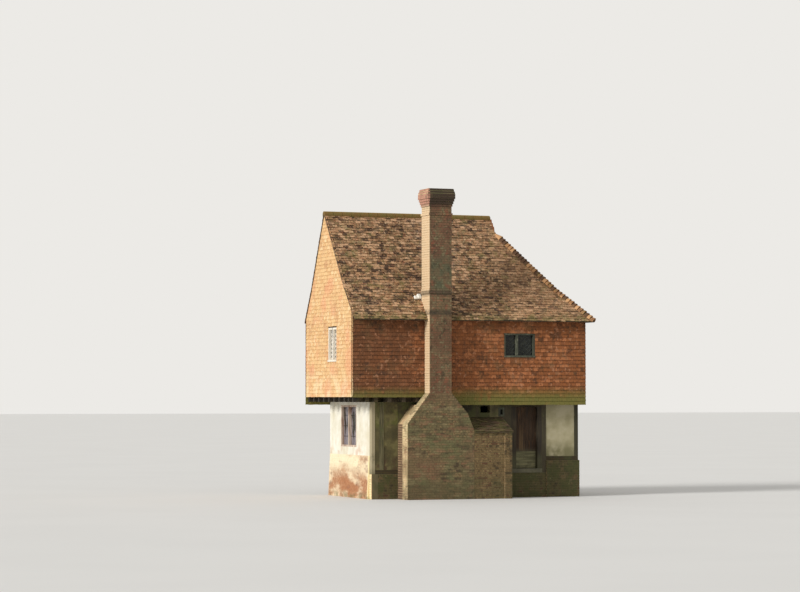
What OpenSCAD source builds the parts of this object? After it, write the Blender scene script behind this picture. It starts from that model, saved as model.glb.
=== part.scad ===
// Timber-framed house with a jettied, tile-hung upper storey and an outside brick chimney.
// Millimetres, +Z up. House axes: X runs right along the front, Y runs back from the upper
// front face, Z starts at the lowest ground. The model is centred over its own box.

/* [Upper storey] */
// Length of the upper storey along the front
upper_len = 7990; // [7600:10:8600]
// Depth of the upper storey from front to back
upper_depth = 4380; // [4000:10:4800]
// Thickness of the tile-hung upper walls
upper_wall_t = 150; // [120:5:200]
// Thickness of the tile skirt that hangs below the upper walls
skirt_t = 40; // [30:1:60]
// How far the tile skirt drops below the floor joists' tops
skirt_drop = 250; // [180:5:320]

/* [Lower storey] */
// Overhang of the upper storey at the front
front_jetty = 420; // [360:5:480]
// Overhang of the upper storey at the left end
left_jetty = 805; // [700:5:900]
// Thickness of the lower walls
lower_wall_t = 200; // [160:5:240]
// Thickness of the brick plinths
plinth_t = 300; // [260:5:360]
// How far the plinths stand out past the walls on them
plinth_out = 30; // [20:1:60]
// Height of the low plinth at the front
low_plinth_h = 790; // [650:10:900]
// Height of the tall plinth at the right and the back
tall_plinth_h = 1180; // [1000:10:1350]
// Height of the brick base of the left end wall
end_base_h = 1366; // [1200:2:1500]
// How far the left end's brick base spreads at its foot
end_base_batter = 60; // [20:2:100]
// Height of the timber sill beams
sill_h = 130; // [100:5:160]
// Width of the studs in the lower walls
stud_w = 140; // [110:5:170]
// Number of bays between the posts of the back wall
back_bays = 4; // [3:1:5]
// Number of bays between the posts of the right end wall
end_bays = 3; // [2:1:4]
// How far the wall panels lie behind the timbers' faces
panel_in = 12; // [6:1:25]
// Gap where panels and infill blocks meet the timbers beside them
seat_gap = 0.3; // [0.2:0.05:0.5]

/* [Floors] */
// Height of the floor joists' undersides
joist_z = 3060; // [2900:10:3100]
// Depth of a floor joist
joist_h = 160; // [120:5:190]
// Width of a floor joist
joist_w = 120; // [90:5:150]
// Spacing of the floor joists
joist_gap = 460; // [380:10:600]
// Width of the dragon beam under the front left corner
dragon_w = 180; // [140:5:220]
// Thickness of the upper floor's boards
board_t = 30; // [22:1:40]

/* [Roof] */
// Height of the roof's apex
ridge_z = 9150; // [8800:10:9400]
// Height of the top of the eaves' edge
eave_z = 5680; // [5500:10:5850]
// Distance of the ridge behind the upper front face
ridge_y = 2600; // [2500:10:2900]
// Upright thickness of the tiles that run past the left gable
verge_t = 45; // [30:1:50]
// Distance of the ridge's right end from the left face
gablet_x = 5760; // [5600:10:5900]
// Thickness of the small gable that closes the ridge's right end
gablet_t = 60; // [40:5:90]
// Run of the hip slope from its eaves to the apex that it would reach
hip_run = 2860; // [2750:10:2950]
// Eaves overhang at the front
front_eave = 280; // [200:5:340]
// Eaves overhang at the back
back_eave = 100; // [60:5:200]
// Eaves overhang at the hipped right end
hip_eave = 230; // [150:5:300]
// How far the roof runs past the left gable
verge_out = 40; // [20:1:80]
// Run of the flatter sprocketed foot of the front slope
kick_run = 980; // [800:10:1080]
// Rise of the flatter sprocketed foot of the roof
kick_rise = 1040; // [900:10:1120]
// Upright thickness of the roof covering at the eaves' edge
eave_t = 50; // [35:1:70]
// Upright thickness of the roof above its sprocketed foot
roof_t = 150; // [120:5:200]
// Radius of the half-round ridge tiles
ridge_r = 110; // [90:5:130]
// Length of one ridge tile
ridge_tile = 300; // [240:10:360]
// Half the width in plan of the covering along the hips
hip_half_w = 110; // [90:5:130]
// Upright thickness of the covering along the hips
hip_t = 55; // [40:1:70]
// How far the ridge tiles' axis lies below the roof's apex
cover_sink = 55; // [35:5:65]
// Width of the mortar joint between ridge tiles
mortar_w = 12; // [8:1:20]
// Depth of the mortar joint between ridge tiles
mortar_in = 10; // [5:1:15]

/* [Chimney] */
// Distance of the stack's left face from the left end of the house
stack_x = 2430; // [2350:5:2500]
// Width of the stack
stack_w = 740; // [680:5:800]
// Depth of the stack from front to back
stack_d = 670; // [640:5:700]
// How far the stack stands out from the upper front face
stack_out = 430; // [400:5:480]
// Height at which the stack leaves the shouldered base
stack_foot_z = 3344; // [3300:4:3420]
// Height at which the corbelled cap starts
cap_z = 9232; // [9000:4:9300]
// Width of the base left of the stack
left_shoulder_w = 742; // [650:2:820]
// Height of the foot of the left shoulder
left_shoulder_z = 2375; // [2250:1:2500]
// Width of the base right of the stack
right_shoulder_w = 778; // [700:2:860]
// Height of the foot of the right shoulder
right_shoulder_z = 2161; // [2150:1:2300]
// Width of the steep foot of the right shoulder
right_kink_w = 224; // [150:2:300]
// Height of the kink in the right shoulder
right_kink_z = 2692; // [2600:1:2800]
// Width of the flue from side to side; it ends on the base
flue_w = 380; // [300:5:420]
// Height of one brick course
course_h = 80; // [70:1:84]
// Projection of each corbelled course beyond the one below
corbel_step = 23; // [15:1:28]
// Number of corbelled courses that step outwards
corbel_count = 4; // [3:1:5]
// Width by which the cap's sloping top draws in again
cap_draw_in = 46; // [30:2:60]

/* [Oven block] */
// Length of the low oven block beside the chimney
oven_len = 1289; // [1150:1:1400]
// Height of the oven block's front top edge
oven_front_z = 2090; // [1950:10:2140]
// Rise of the oven block's sloping top up to the house wall
oven_rise = 430; // [300:10:520]
// Thickness of the oven block's tiled top
oven_roof_t = 55; // [40:1:80]
// Overhang of the oven block's tiled top at the front
oven_lip = 30; // [15:1:50]
// Width of the flat pier at the right of the oven block's front
oven_pier_w = 250; // [180:5:300]
// Projection of that pier
oven_pier_out = 28; // [15:1:30]

/* [Door] */
// Distance of the door leaf's hinged edge from the left face
door_x = 5740; // [5700:5:5780]
// Width of the door leaf
door_w = 787; // [720:1:820]
// Height of the underside of the door's head beam
door_head_z = 2910; // [2750:5:2960]
// Thickness of the door leaf's boards
door_t = 38; // [30:1:50]
// Gap between the leaf and the jambs, head and threshold
door_gap = 9; // [8:1:14]
// Width of the jamb at the hinged side
left_jamb_w = 143; // [120:1:160]
// Width of the jamb at the closing side
right_jamb_w = 126; // [110:1:150]
// How far the jambs' outer stops reach over the leaf
stop_w = 22; // [16:1:32]
// Gap between the leaf and the stops
stop_gap = 6; // [5:1:9]
// Thickness of the two ledges across the leaf's back
ledge_t = 26; // [20:1:34]
// Height of a ledge
ledge_h = 150; // [110:5:180]
// Distance of a ledge's ends from the leaf's edges
ledge_end = 60; // [50:1:90]
// Distance of the strap hinges from the leaf's top and bottom
strap_in = 240; // [180:5:320]
// Thickness of the boards across the leaf's weathered foot
apron_t = 18; // [12:1:22]
// Height of the boards across the leaf's weathered foot
apron_h = 540; // [450:10:600]
// Gap between those boards and the jambs' stops
apron_gap = 12; // [10:1:20]
// Radius of the hinge pins
pin_r = 8; // [6:0.5:10]
// Wall of the hinge eyes round the pins
eye_t = 6; // [4:0.5:8]
// Running gap between pin and eye
pin_gap = 0.3; // [0.2:0.05:0.4]
// Thickness of the strap hinges
strap_t = 6; // [5:0.5:8]
// Height of a strap hinge
strap_h = 50; // [40:1:60]
// Length of a strap hinge along the leaf
strap_len = 560; // [450:10:640]
// Gap between the hinge eyes and the jamb
eye_gap = 6; // [5:0.5:8]
// Height of the hinge pins' arms under the eyes
arm_h = 14; // [10:1:20]

/* [Front wall pieces] */
// Width of the front left corner post
left_post_w = 108; // [90:1:140]
// Width of the panel between the corner post and the next stud
corner_panel_w = 157; // [120:1:200]
// Width of the post left of the door
door_post_w = 237; // [180:1:260]
// Width of the dark post right of the door
side_post_w = 151; // [120:1:180]
// Width of the front right corner post
right_post_w = 135; // [110:1:160]
// Distance of the small vent from the left face
vent_x = 4513; // [4400:1:4600]
// Width of the small vent
vent_w = 333; // [250:1:360]
// Height of the small vent's foot
vent_z = 2722; // [2650:1:2760]
// Height of the small vent
vent_h = 209; // [160:1:240]

/* [Windows] */
// Distance of the upper front window from the left face
front_win_x = 5157; // [4900:1:5400]
// Width of the upper front window
front_win_w = 1083; // [950:1:1150]
// Height of the upper front window's foot
front_win_z = 4490; // [4300:1:4600]
// Height of the upper front window
front_win_h = 774; // [700:1:850]
// Distance of the upper front window's mullion from its left side
front_mullion_at = 420; // [380:5:560]
// Distance of the gable window from the front
gable_win_y = 1429; // [1300:1:1550]
// Width of the gable window
gable_win_w = 813; // [740:1:900]
// Height of the gable window's foot
gable_win_z = 4345; // [4200:1:4500]
// Height of the gable window
gable_win_h = 1085; // [950:1:1150]
// Distance of the left end's lower window from the front
end_win_y = 1822; // [1700:1:1950]
// Width of the left end's lower window
end_win_w = 1471; // [1350:1:1560]
// Height of the left end's lower window
end_win_h = 1338; // [1150:1:1400]
// Height of the left end's lower window's foot
end_win_z = 1621; // [1550:1:1690]
// Number of mullions in the left end's lower window
end_mullions = 1; // [1:1:4]
// Width of the small window beside the door
small_win_w = 212; // [180:1:260]
// Height of the small window's foot
small_win_z = 2600; // [2590:5:2640]
// Height of the small window
small_win_h = 280; // [240:1:310]
// Width of the windows' frame timbers
frame_w = 60; // [45:1:75]
// Width of the windows' mullions
mullion_w = 75; // [60:1:95]
// Depth of the windows' frames
frame_d = 90; // [70:1:110]
// Thickness of the glass
glass_t = 6; // [4:0.5:10]
// How far the windows' sills stand out
sill_out = 35; // [20:1:50]

/* [Hidden] */

$fn = 48;
// Cutting tools run this far past the faces they open
past = 10;

// Colours of the materials
brick = "#9a5f43";
old_brick = "#b5876d";
hung_tile = "#a4572f";
lit_tile = "#c98d5c";
roof_tile = "#7b5b41";
oak = "#6f6a55";
dark_oak = "#3d2e22";
plaster = "#b3aa88";
white_render = "#dcd3bd";
mossy_panel = "#6a6642";
stone = "#8c8870";
moss_tile = "#5d5a30";
pale_frame = "#c9c2ae";
iron = "#2d2b29";
glass_blue = "#5d6a73";

// Levels of the construction
floor_z = low_plinth_h + sill_h;
tall_sill_z = tall_plinth_h + sill_h;
joist_top = joist_z + joist_h;
skirt_z = joist_top - skirt_drop;
kick_z = eave_z + kick_rise;

// Plan lines of the upper storey, the roof and the stack
right_x = upper_len + hip_eave;
back_y = upper_depth + back_eave;
front_run = ridge_y + front_eave;
back_kick = kick_run * (back_y - ridge_y) / front_run;
hip_kick = kick_run * hip_run / front_run;
cap_out = corbel_step * corbel_count;
stack_x1 = stack_x + stack_w;
stack_y1 = stack_d - stack_out;
origin_x = (right_x - verge_out) / 2;
origin_y = (back_y - stack_out - cap_out) / 2;

// Where both hips meet the foot of the small gable: front and back line, and height
gablet_part = (right_x - gablet_x) / hip_run;
gablet_y = [-front_eave + gablet_part * front_run, back_y - gablet_part * (back_y - ridge_y)];
gablet_z = kick_z + (ridge_z - kick_z) * (gablet_part * hip_run - hip_kick) / (hip_run - hip_kick);

// Plan lines of the lower storey
low_x0 = left_jetty;
low_x1 = upper_len - skirt_t;
low_y0 = front_jetty;
low_y1 = upper_depth - skirt_t;
base_x0 = stack_x - left_shoulder_w;
base_x1 = stack_x1 + right_shoulder_w;
oven_x1 = base_x1 + oven_len;
low_y0_in = low_y0 + lower_wall_t;
low_y1_in = low_y1 - lower_wall_t;
low_x0_in = low_x0 + lower_wall_t;
left_post_x = low_x0 + left_post_w;
low_x1_in = low_x1 - lower_wall_t;

// Studs of the lower walls: the front one, and those of the back and the right end
front_stud_x = left_post_x + corner_panel_w;
back_studs = [for (i = [0:back_bays]) low_x0_in + i * (low_x1 - low_x0_in - stud_w) / back_bays];
end_studs = [for (i = [1:end_bays - 1]) low_y0_in + i * (low_y1_in - low_y0_in) / end_bays - stud_w / 2];

// Lines of the doorway
jamb_x0 = door_x - door_gap - left_jamb_w;
leaf_x1 = door_x + door_w;
jamb_x1 = leaf_x1 + door_gap + right_jamb_w;
door_post_x = jamb_x0 - door_post_w;
panel_x0 = jamb_x1 + side_post_w;
panel_x1 = low_x1 - right_post_w;
leaf_z0 = floor_z + door_gap;
leaf_z1 = door_head_z - door_gap;
leaf_y1 = low_y0_in - ledge_t;
leaf_y0 = leaf_y1 - door_t;
stop_y1 = leaf_y0 - stop_gap;
eye_r = pin_r + pin_gap + eye_t;
pin_x = door_x - door_gap + eye_gap + eye_r;
pin_y = leaf_y1 + pin_gap + eye_r;
strap_z = [leaf_z0 + strap_in, leaf_z1 - strap_in - strap_h];
ledge_z = [strap_z[0] + strap_h, strap_z[1] - ledge_h];

// Lines of the floor's timbers
joist_start = skirt_t;
trimmer_x = low_x0_in + lower_wall_t;
dragon_angle = atan2(front_jetty, left_jetty);
dragon_len = (trimmer_x - joist_start) / cos(dragon_angle) + dragon_w;
joist_count = floor((low_x1 - joist_w - trimmer_x) / joist_gap);
joist_step = (low_x1 - joist_w - trimmer_x) / joist_count;
end_joist_y = front_jetty + lower_wall_t + dragon_w;
end_joist_count = floor((low_y1 - joist_w - end_joist_y) / joist_gap);
end_joist_step = (low_y1 - joist_w - end_joist_y) / end_joist_count;

// Flue and cap
flue_d = stack_d - (stack_w - flue_w);
flue_x = stack_x + (stack_w - flue_w) / 2;
flue_y = -stack_out + (stack_d - flue_d) / 2;
cap_wide_z = cap_z + (corbel_count - 1) * course_h;
cap_slope_z = cap_wide_z + 2 * course_h;
cap_top = cap_slope_z + 2 * course_h;

// Puts the house's own axes over the middle of its box
module house_frame() {
    translate([-origin_x, -origin_y, 0])
        children();
}

// A block from one corner to the opposite one
module block(from, to) {
    translate(from)
        cube(to - from);
}

// An outline of house Y and Z, drawn along X from x0 to x1
module along_x(x0, x1) {
    translate([x0, 0, 0])
        rotate([90, 0, 90])
            linear_extrude(x1 - x0)
                children();
}

// An outline of house X and Z, drawn along Y from y0 to y1
module along_y(y0, y1) {
    translate([0, y1, 0])
        rotate([90, 0, 0])
            linear_extrude(y1 - y0)
                children();
}

// A round bar from p to q
module bar(p, q, r) {
    way = q - p;
    span = norm(way);
    translate(p)
        rotate([0, acos(way.z / span), atan2(way.y, way.x)])
            cylinder(h = span, r = r);
}

// Roof lines, each from the eaves up to the ridge; drop is 0 on top and 1 underneath
function front_line(drop) = [
    [-front_eave, eave_z - drop * eave_t],
    [kick_run - front_eave, kick_z - drop * roof_t],
    [ridge_y, ridge_z - drop * roof_t]
];
function back_line(drop) = [
    [back_y, eave_z - drop * eave_t],
    [back_y - back_kick, kick_z - drop * roof_t],
    [ridge_y, ridge_z - drop * roof_t]
];
function hip_line(drop) = [
    [right_x, eave_z - drop * eave_t],
    [right_x - hip_kick, kick_z - drop * roof_t],
    [gablet_x, gablet_z - drop * roof_t]
];
function turned(list) = [for (i = [len(list) - 1:-1:0]) list[i]];
function band(line_top, line_under) = concat(line_top, turned(line_under));
function lowered(line, drop) = [for (p = line) [p.x, p.y - drop]];

// A slope along X: its full thickness over the walls, and its tiles alone past the gable
module gabled_slope(line_top, line_under) {
    along_x(0, right_x)
        polygon(band(line_top, line_under));
    along_x(-verge_out, 0)
        polygon(band(line_top, lowered(line_top, verge_t)));
}

// All the space under the roof's top (drop 0) or under its underside (drop 1)
module roof_space(drop) {
    front = front_line(drop);
    back = back_line(drop);
    hip = hip_line(drop);
    top = ridge_z - drop * roof_t;
    intersection() {
        along_x(-verge_out, right_x)
            polygon(concat([[front[0].x, 0]], front, turned([back[0], back[1]]), [[back[0].x, 0]]));
        along_y(-front_eave, back_y)
            polygon(concat([[right_x, 0]], hip, [[gablet_x, top], [-verge_out, top], [-verge_out, 0]]));
    }
}

// The part of the plan that each slope covers
module slope_plan(points) {
    linear_extrude(ridge_z)
        polygon(points);
}

// Brick plinths and the base of the left end
module left_end_base() house_frame() {
    color(old_brick)
        along_y(low_y0_in, low_y1)
            polygon([
                [low_x0 - end_base_batter, 0],
                [low_x0_in, 0],
                [low_x0_in, end_base_h],
                [low_x0, end_base_h]
            ]);
}

module front_plinth() house_frame() {
    color(brick) {
        block([low_x0, low_y0, 0], [low_x0_in, low_y0_in, low_plinth_h]);
        block([low_x0_in, low_y0, 0], [panel_x0, low_y0 - plinth_out + plinth_t, low_plinth_h]);
    }
}

module front_right_plinth() house_frame() {
    color(brick)
        block(
            [panel_x0, low_y0 - plinth_out, 0],
            [low_x1 + plinth_out, low_y0 - plinth_out + plinth_t, tall_plinth_h]
        );
}

module right_end_plinth() house_frame() {
    color(brick)
        block(
            [low_x1 + plinth_out - plinth_t, low_y0 - plinth_out + plinth_t, 0],
            [low_x1 + plinth_out, low_y1 + plinth_out - plinth_t, tall_plinth_h]
        );
}

module back_plinth() house_frame() {
    color(brick)
        block(
            [low_x0_in, low_y1 + plinth_out - plinth_t, 0],
            [low_x1 + plinth_out, low_y1 + plinth_out, tall_plinth_h]
        );
}

// Timber sills on the plinths
module sill_beams() house_frame() {
    color(oak) {
        block([left_post_x, low_y0, low_plinth_h], [jamb_x0, low_y0_in, floor_z]);
        block([panel_x0, low_y0, tall_plinth_h], [low_x1, low_y0_in, tall_sill_z]);
        block([low_x1_in, low_y0_in, tall_plinth_h], [low_x1, low_y1_in, tall_sill_z]);
        block([low_x0_in, low_y1_in, tall_plinth_h], [low_x1, low_y1, tall_sill_z]);
    }
}

// Solid ground floor at the level of the threshold
module ground_floor() house_frame() {
    color(stone)
        difference() {
            block(
                [low_x0_in, low_y0_in, low_plinth_h],
                [low_x1 + plinth_out - plinth_t, low_y1 + plinth_out - plinth_t, floor_z]
            );
            block(
                [panel_x0, low_y0_in - past, low_plinth_h - past],
                [low_x1, low_y0 - plinth_out + plinth_t, floor_z + past]
            );
        }
}

// Posts and studs of the lower storey, from the sills up to the joists
module lower_posts() house_frame() {
    color(oak) {
        for (x = back_studs)
            block([x, low_y1_in, tall_sill_z], [x + stud_w, low_y1, joist_z]);
        for (y = end_studs)
            block([low_x1_in, y, tall_sill_z], [low_x1, y + stud_w, joist_z]);
        block([front_stud_x, low_y0, floor_z], [front_stud_x + stud_w, low_y0_in, joist_z]);
        block([low_x0, low_y0, low_plinth_h], [left_post_x, low_y0_in, joist_z]);
        block([door_post_x, low_y0, floor_z], [jamb_x0, low_y0_in, joist_z]);
        block([jamb_x1, low_y0, low_plinth_h], [panel_x0, low_y0_in, joist_z]);
        block([panel_x1, low_y0, tall_sill_z], [low_x1, low_y0_in, joist_z]);
    }
}

// Filled panels either side of the stud between the left corner post and the chimney
module front_left_panel() house_frame() {
    color(mossy_panel) {
        block(
            [left_post_x + seat_gap, low_y0 + panel_in, floor_z],
            [front_stud_x - seat_gap, low_y0_in, joist_z]
        );
        block(
            [front_stud_x + stud_w + seat_gap, low_y0 + panel_in, floor_z],
            [base_x0 - seat_gap, low_y0_in, joist_z]
        );
    }
}

// Wall behind the chimney's base and the oven block, with a vent and a small window
module front_mid_wall() house_frame() {
    color(plaster)
        difference() {
            block([base_x0, low_y0, floor_z], [door_post_x, low_y0_in, joist_z]);
            block([vent_x, low_y0 - past, vent_z], [vent_x + vent_w, low_y0_in + past, vent_z + vent_h]);
            block(
                [door_post_x - small_win_w, low_y0 - past, small_win_z],
                [door_post_x + past, low_y0_in + past, small_win_z + small_win_h]
            );
        }
}

module plaster_panel() house_frame() {
    color(plaster)
        block([panel_x0, low_y0 + panel_in, tall_sill_z], [panel_x1, low_y0_in, joist_z]);
}

module left_end_wall() house_frame() {
    color(white_render)
        difference() {
            block([low_x0, low_y0_in, end_base_h], [low_x0_in, low_y1, joist_z]);
            block(
                [low_x0 - past, end_win_y, end_win_z],
                [low_x0_in + past, end_win_y + end_win_w, end_win_z + end_win_h]
            );
        }
}

// Panels between the studs of the back wall
module lower_back_wall() house_frame() {
    color(plaster)
        for (i = [1:back_bays])
            block(
                [back_studs[i - 1] + stud_w + seat_gap, low_y1_in, tall_sill_z],
                [back_studs[i] - seat_gap, low_y1 - panel_in, joist_z]
            );
}

// Panels between the studs of the right end wall and its corner posts
module lower_right_wall() house_frame() {
    starts = concat([low_y0_in], [for (y = end_studs) y + stud_w]);
    ends = concat(end_studs, [low_y1_in]);
    color(plaster)
        for (i = [0:end_bays - 1])
            block(
                [low_x1_in, starts[i] + seat_gap, tall_sill_z],
                [low_x1 - panel_in, ends[i] - seat_gap, joist_z]
            );
}

// Beam that carries the overhanging corner, from the floor's frame out over the corner post
module dragon_shape() {
    intersection() {
        translate([joist_start, joist_start, joist_z])
            rotate([0, 0, dragon_angle])
                translate([-dragon_w, -dragon_w / 2, 0])
                    cube([dragon_len + dragon_w, dragon_w, joist_h]);
        block([joist_start, joist_start, joist_z], [trimmer_x, low_y1, joist_top]);
    }
}

module dragon_beam() house_frame() {
    color(oak)
        dragon_shape();
}

// Joists that run from front to back; the first of them carries the left overhang's joists
module floor_joists() house_frame() {
    color(oak)
        for (i = [0:joist_count])
            translate([trimmer_x + i * joist_step, joist_start, joist_z])
                cube([joist_w, low_y1 - joist_start, joist_h]);
}

// The side of the dragon beam's centre line that lies towards the front (-1) or the back (0)
module dragon_side(side) {
    translate([joist_start, joist_start, 0])
        rotate([0, 0, dragon_angle])
            translate([0, side * upper_depth, 0])
                cube([dragon_len, upper_depth, joist_top]);
}

// Joists out over the left end, and the short ones that end on the dragon beam
module jetty_joists() house_frame() {
    color(oak) {
        for (i = [0:end_joist_count])
            translate([joist_start, end_joist_y + i * end_joist_step, joist_z])
                cube([trimmer_x - joist_start, joist_w, joist_h]);
        difference() {
            intersection() {
                for (x = [trimmer_x - joist_gap, trimmer_x - joist_gap - joist_w - dragon_w])
                    translate([x, joist_start, joist_z])
                        cube([joist_w, front_jetty + lower_wall_t - joist_start, joist_h]);
                dragon_side(-1);
            }
            dragon_shape();
        }
        difference() {
            intersection() {
                translate([joist_start, front_jetty, joist_z])
                    cube([trimmer_x - joist_start, joist_w, joist_h]);
                dragon_side(0);
            }
            dragon_shape();
        }
    }
}

// Blocks that close the wall's top between the joists
module joist_infill() house_frame() {
    color(plaster) {
        for (i = [0:joist_count - 1])
            for (y = [low_y0, low_y1_in])
                translate([trimmer_x + i * joist_step + joist_w + seat_gap, y, joist_z])
                    cube([joist_step - joist_w - 2 * seat_gap, lower_wall_t, joist_h]);
        for (i = [0:end_joist_count - 1])
            translate([low_x0, end_joist_y + i * end_joist_step + joist_w + seat_gap, joist_z])
                cube([lower_wall_t, end_joist_step - joist_w - 2 * seat_gap, joist_h]);
    }
}

module upper_floor() house_frame() {
    color(oak)
        difference() {
            block(
                [upper_wall_t, upper_wall_t, joist_top],
                [upper_len - upper_wall_t, upper_depth - upper_wall_t, joist_top + board_t]
            );
            block([stack_x, 0, joist_top - past], [stack_x1, stack_y1, joist_top + board_t + past]);
        }
}

// Tile-hung walls of the upper storey, each finished against the roof's underside
module upper_front_wall_left() house_frame() {
    color(hung_tile)
        intersection() {
            block([upper_wall_t, 0, joist_top], [stack_x, upper_wall_t, ridge_z]);
            roof_space(1);
        }
}

module upper_front_wall_right() house_frame() {
    color(hung_tile)
        difference() {
            intersection() {
                union() {
                    block([stack_x1, 0, joist_top], [upper_len, upper_wall_t, ridge_z]);
                    block([stack_x1, 0, skirt_z], [upper_len, skirt_t, joist_top]);
                }
                roof_space(1);
            }
            block(
                [front_win_x, -past, front_win_z],
                [front_win_x + front_win_w, upper_wall_t + past, front_win_z + front_win_h]
            );
        }
}

module left_gable_wall() house_frame() {
    color(lit_tile)
        difference() {
            intersection() {
                block([0, 0, joist_top], [upper_wall_t, upper_depth, ridge_z]);
                roof_space(1);
            }
            block(
                [-past, gable_win_y, gable_win_z],
                [upper_wall_t + past, gable_win_y + gable_win_w, gable_win_z + gable_win_h]
            );
        }
}

module upper_back_wall() house_frame() {
    color(hung_tile)
        intersection() {
            union() {
                block(
                    [upper_wall_t, upper_depth - upper_wall_t, joist_top],
                    [upper_len, upper_depth, ridge_z]
                );
                block([low_x0, low_y1, skirt_z], [upper_len, upper_depth, joist_top]);
            }
            roof_space(1);
        }
}

module upper_right_wall() house_frame() {
    color(hung_tile)
        intersection() {
            union() {
                block(
                    [upper_len - upper_wall_t, upper_wall_t, joist_top],
                    [upper_len, upper_depth - upper_wall_t, ridge_z]
                );
                block([low_x1, skirt_t, skirt_z], [upper_len, low_y1, joist_top]);
            }
            roof_space(1);
        }
}

// Roof slopes, mitred along the hips and notched round the stack
module front_roof_slope() house_frame() {
    color(roof_tile)
        difference() {
            intersection() {
                gabled_slope(front_line(0), front_line(1));
                slope_plan([
                    [-verge_out, -front_eave],
                    [right_x, -front_eave],
                    [gablet_x, gablet_y[0]],
                    [gablet_x, ridge_y],
                    [-verge_out, ridge_y]
                ]);
            }
            block([stack_x, -stack_out, joist_top], [stack_x1, stack_y1, cap_z]);
        }
}

module back_roof_slope() house_frame() {
    color(roof_tile)
        intersection() {
            gabled_slope(back_line(0), back_line(1));
            slope_plan([
                [-verge_out, ridge_y],
                [gablet_x, ridge_y],
                [gablet_x, gablet_y[1]],
                [right_x, back_y],
                [-verge_out, back_y]
            ]);
        }
}

// Hip slope, and the small upright gable between it and the ridge
module hip_roof_slope() house_frame() {
    color(roof_tile) {
        intersection() {
            along_y(-front_eave, back_y)
                polygon(band(hip_line(0), hip_line(1)));
            slope_plan([
                [right_x, -front_eave],
                [right_x, back_y],
                [gablet_x, gablet_y[1]],
                [gablet_x, gablet_y[0]]
            ]);
        }
        intersection() {
            block([gablet_x - gablet_t, -front_eave, gablet_z - roof_t], [gablet_x, back_y, ridge_z]);
            roof_space(1);
        }
    }
}

// Half-round tiles along the ridge, with sunk mortar joints
module ridge_cover() {
    start = [-verge_out, ridge_y, ridge_z - cover_sink];
    run = gablet_x + verge_out;
    count = round(run / ridge_tile);
    step = run / count;
    bar(start, start + [run, 0, 0], ridge_r - mortar_in);
    for (i = [0:count - 1])
        bar(start + [i * step, 0, 0], start + [(i + 1) * step - mortar_w, 0, 0], ridge_r);
}

module ridge_tiles() house_frame() {
    color(moss_tile)
        difference() {
            ridge_cover();
            roof_space(0);
        }
}

// Plan of the covering along one hip, from the small gable's foot out past the eaves' corner
module hip_strip(from_y, corner_y) {
    way = [right_x - gablet_x, corner_y - from_y];
    intersection() {
        translate([gablet_x, from_y, 0])
            rotate([0, 0, atan2(way.y, way.x)])
                translate([-hip_half_w, -hip_half_w, 0])
                    cube([norm(way) + 2 * hip_half_w, 2 * hip_half_w, ridge_z]);
        block([gablet_x, -front_eave, eave_z - eave_t], [right_x, back_y, ridge_z]);
    }
}

// Covering along both hips, folded over the slopes that meet there
module hip_tiles() house_frame() {
    color(roof_tile)
        difference() {
            intersection() {
                translate([0, 0, hip_t])
                    roof_space(0);
                union() {
                    hip_strip(gablet_y[0], -front_eave);
                    hip_strip(gablet_y[1], back_y);
                }
            }
            roof_space(0);
        }
}

// Shouldered brick base; behind the upper front face it stays below the tile skirt, but
// for the block that carries the stack's back on the floor's timbers
module chimney_base() house_frame() {
    outline = [
        [base_x0, 0],
        [base_x1, 0],
        [base_x1, right_shoulder_z],
        [base_x1 - right_kink_w, right_kink_z],
        [stack_x1, stack_foot_z],
        [stack_x, stack_foot_z],
        [base_x0, left_shoulder_z]
    ];
    color(brick)
        intersection() {
            along_y(-stack_out, low_y0)
                polygon(outline);
            union() {
                block([base_x0, -stack_out, 0], [base_x1, 0, stack_foot_z]);
                block([base_x0, 0, 0], [base_x1, low_y0, skirt_z]);
                block([stack_x, 0, joist_top], [stack_x1, stack_y1, stack_foot_z]);
            }
        }
}

// One square course of the cap, standing out past the stack on all sides
module stack_course(z, out, h) {
    block([stack_x - out, -stack_out - out, z], [stack_x1 + out, stack_y1 + out, z + h]);
}

module flue_cut(z0, z1) {
    block([flue_x, flue_y, z0], [flue_x + flue_w, flue_y + flue_d, z1]);
}

// Stack on its base, with its back inside the front wall
module chimney_stack() house_frame() {
    color(brick)
        difference() {
            block([stack_x, -stack_out, stack_foot_z], [stack_x1, stack_y1, cap_z]);
            flue_cut(stack_foot_z - past, cap_z + past);
        }
}

// The cap's widest courses and sloping top, seen square on between two faces of the stack
module cap_outline(low, high) {
    polygon([
        [low - cap_out, cap_wide_z],
        [high + cap_out, cap_wide_z],
        [high + cap_out, cap_slope_z],
        [high + cap_out - cap_draw_in, cap_top],
        [low - cap_out + cap_draw_in, cap_top],
        [low - cap_out, cap_slope_z]
    ]);
}

// Corbelled cap: courses step out to the widest one, and the top slopes in again
module chimney_cap() house_frame() {
    color(brick)
        difference() {
            union() {
                for (i = [1:corbel_count - 1])
                    stack_course(cap_z + (i - 1) * course_h, i * corbel_step, course_h);
                intersection() {
                    along_y(-stack_out - cap_out, stack_y1 + cap_out)
                        cap_outline(stack_x, stack_x1);
                    along_x(stack_x - cap_out, stack_x1 + cap_out)
                        cap_outline(-stack_out, stack_y1);
                }
            }
            flue_cut(cap_z - past, cap_top + past);
        }
}

// Low brick block beside the chimney, under a sloping tiled top
module oven_block() house_frame() {
    color(brick) {
        along_x(base_x1, oven_x1)
            polygon([
                [-stack_out, 0],
                [low_y0, 0],
                [low_y0, oven_front_z + oven_rise],
                [-stack_out, oven_front_z]
            ]);
        block(
            [oven_x1 - oven_pier_w, -stack_out - oven_pier_out, 0],
            [oven_x1, -stack_out, oven_front_z]
        );
    }
}

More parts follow.
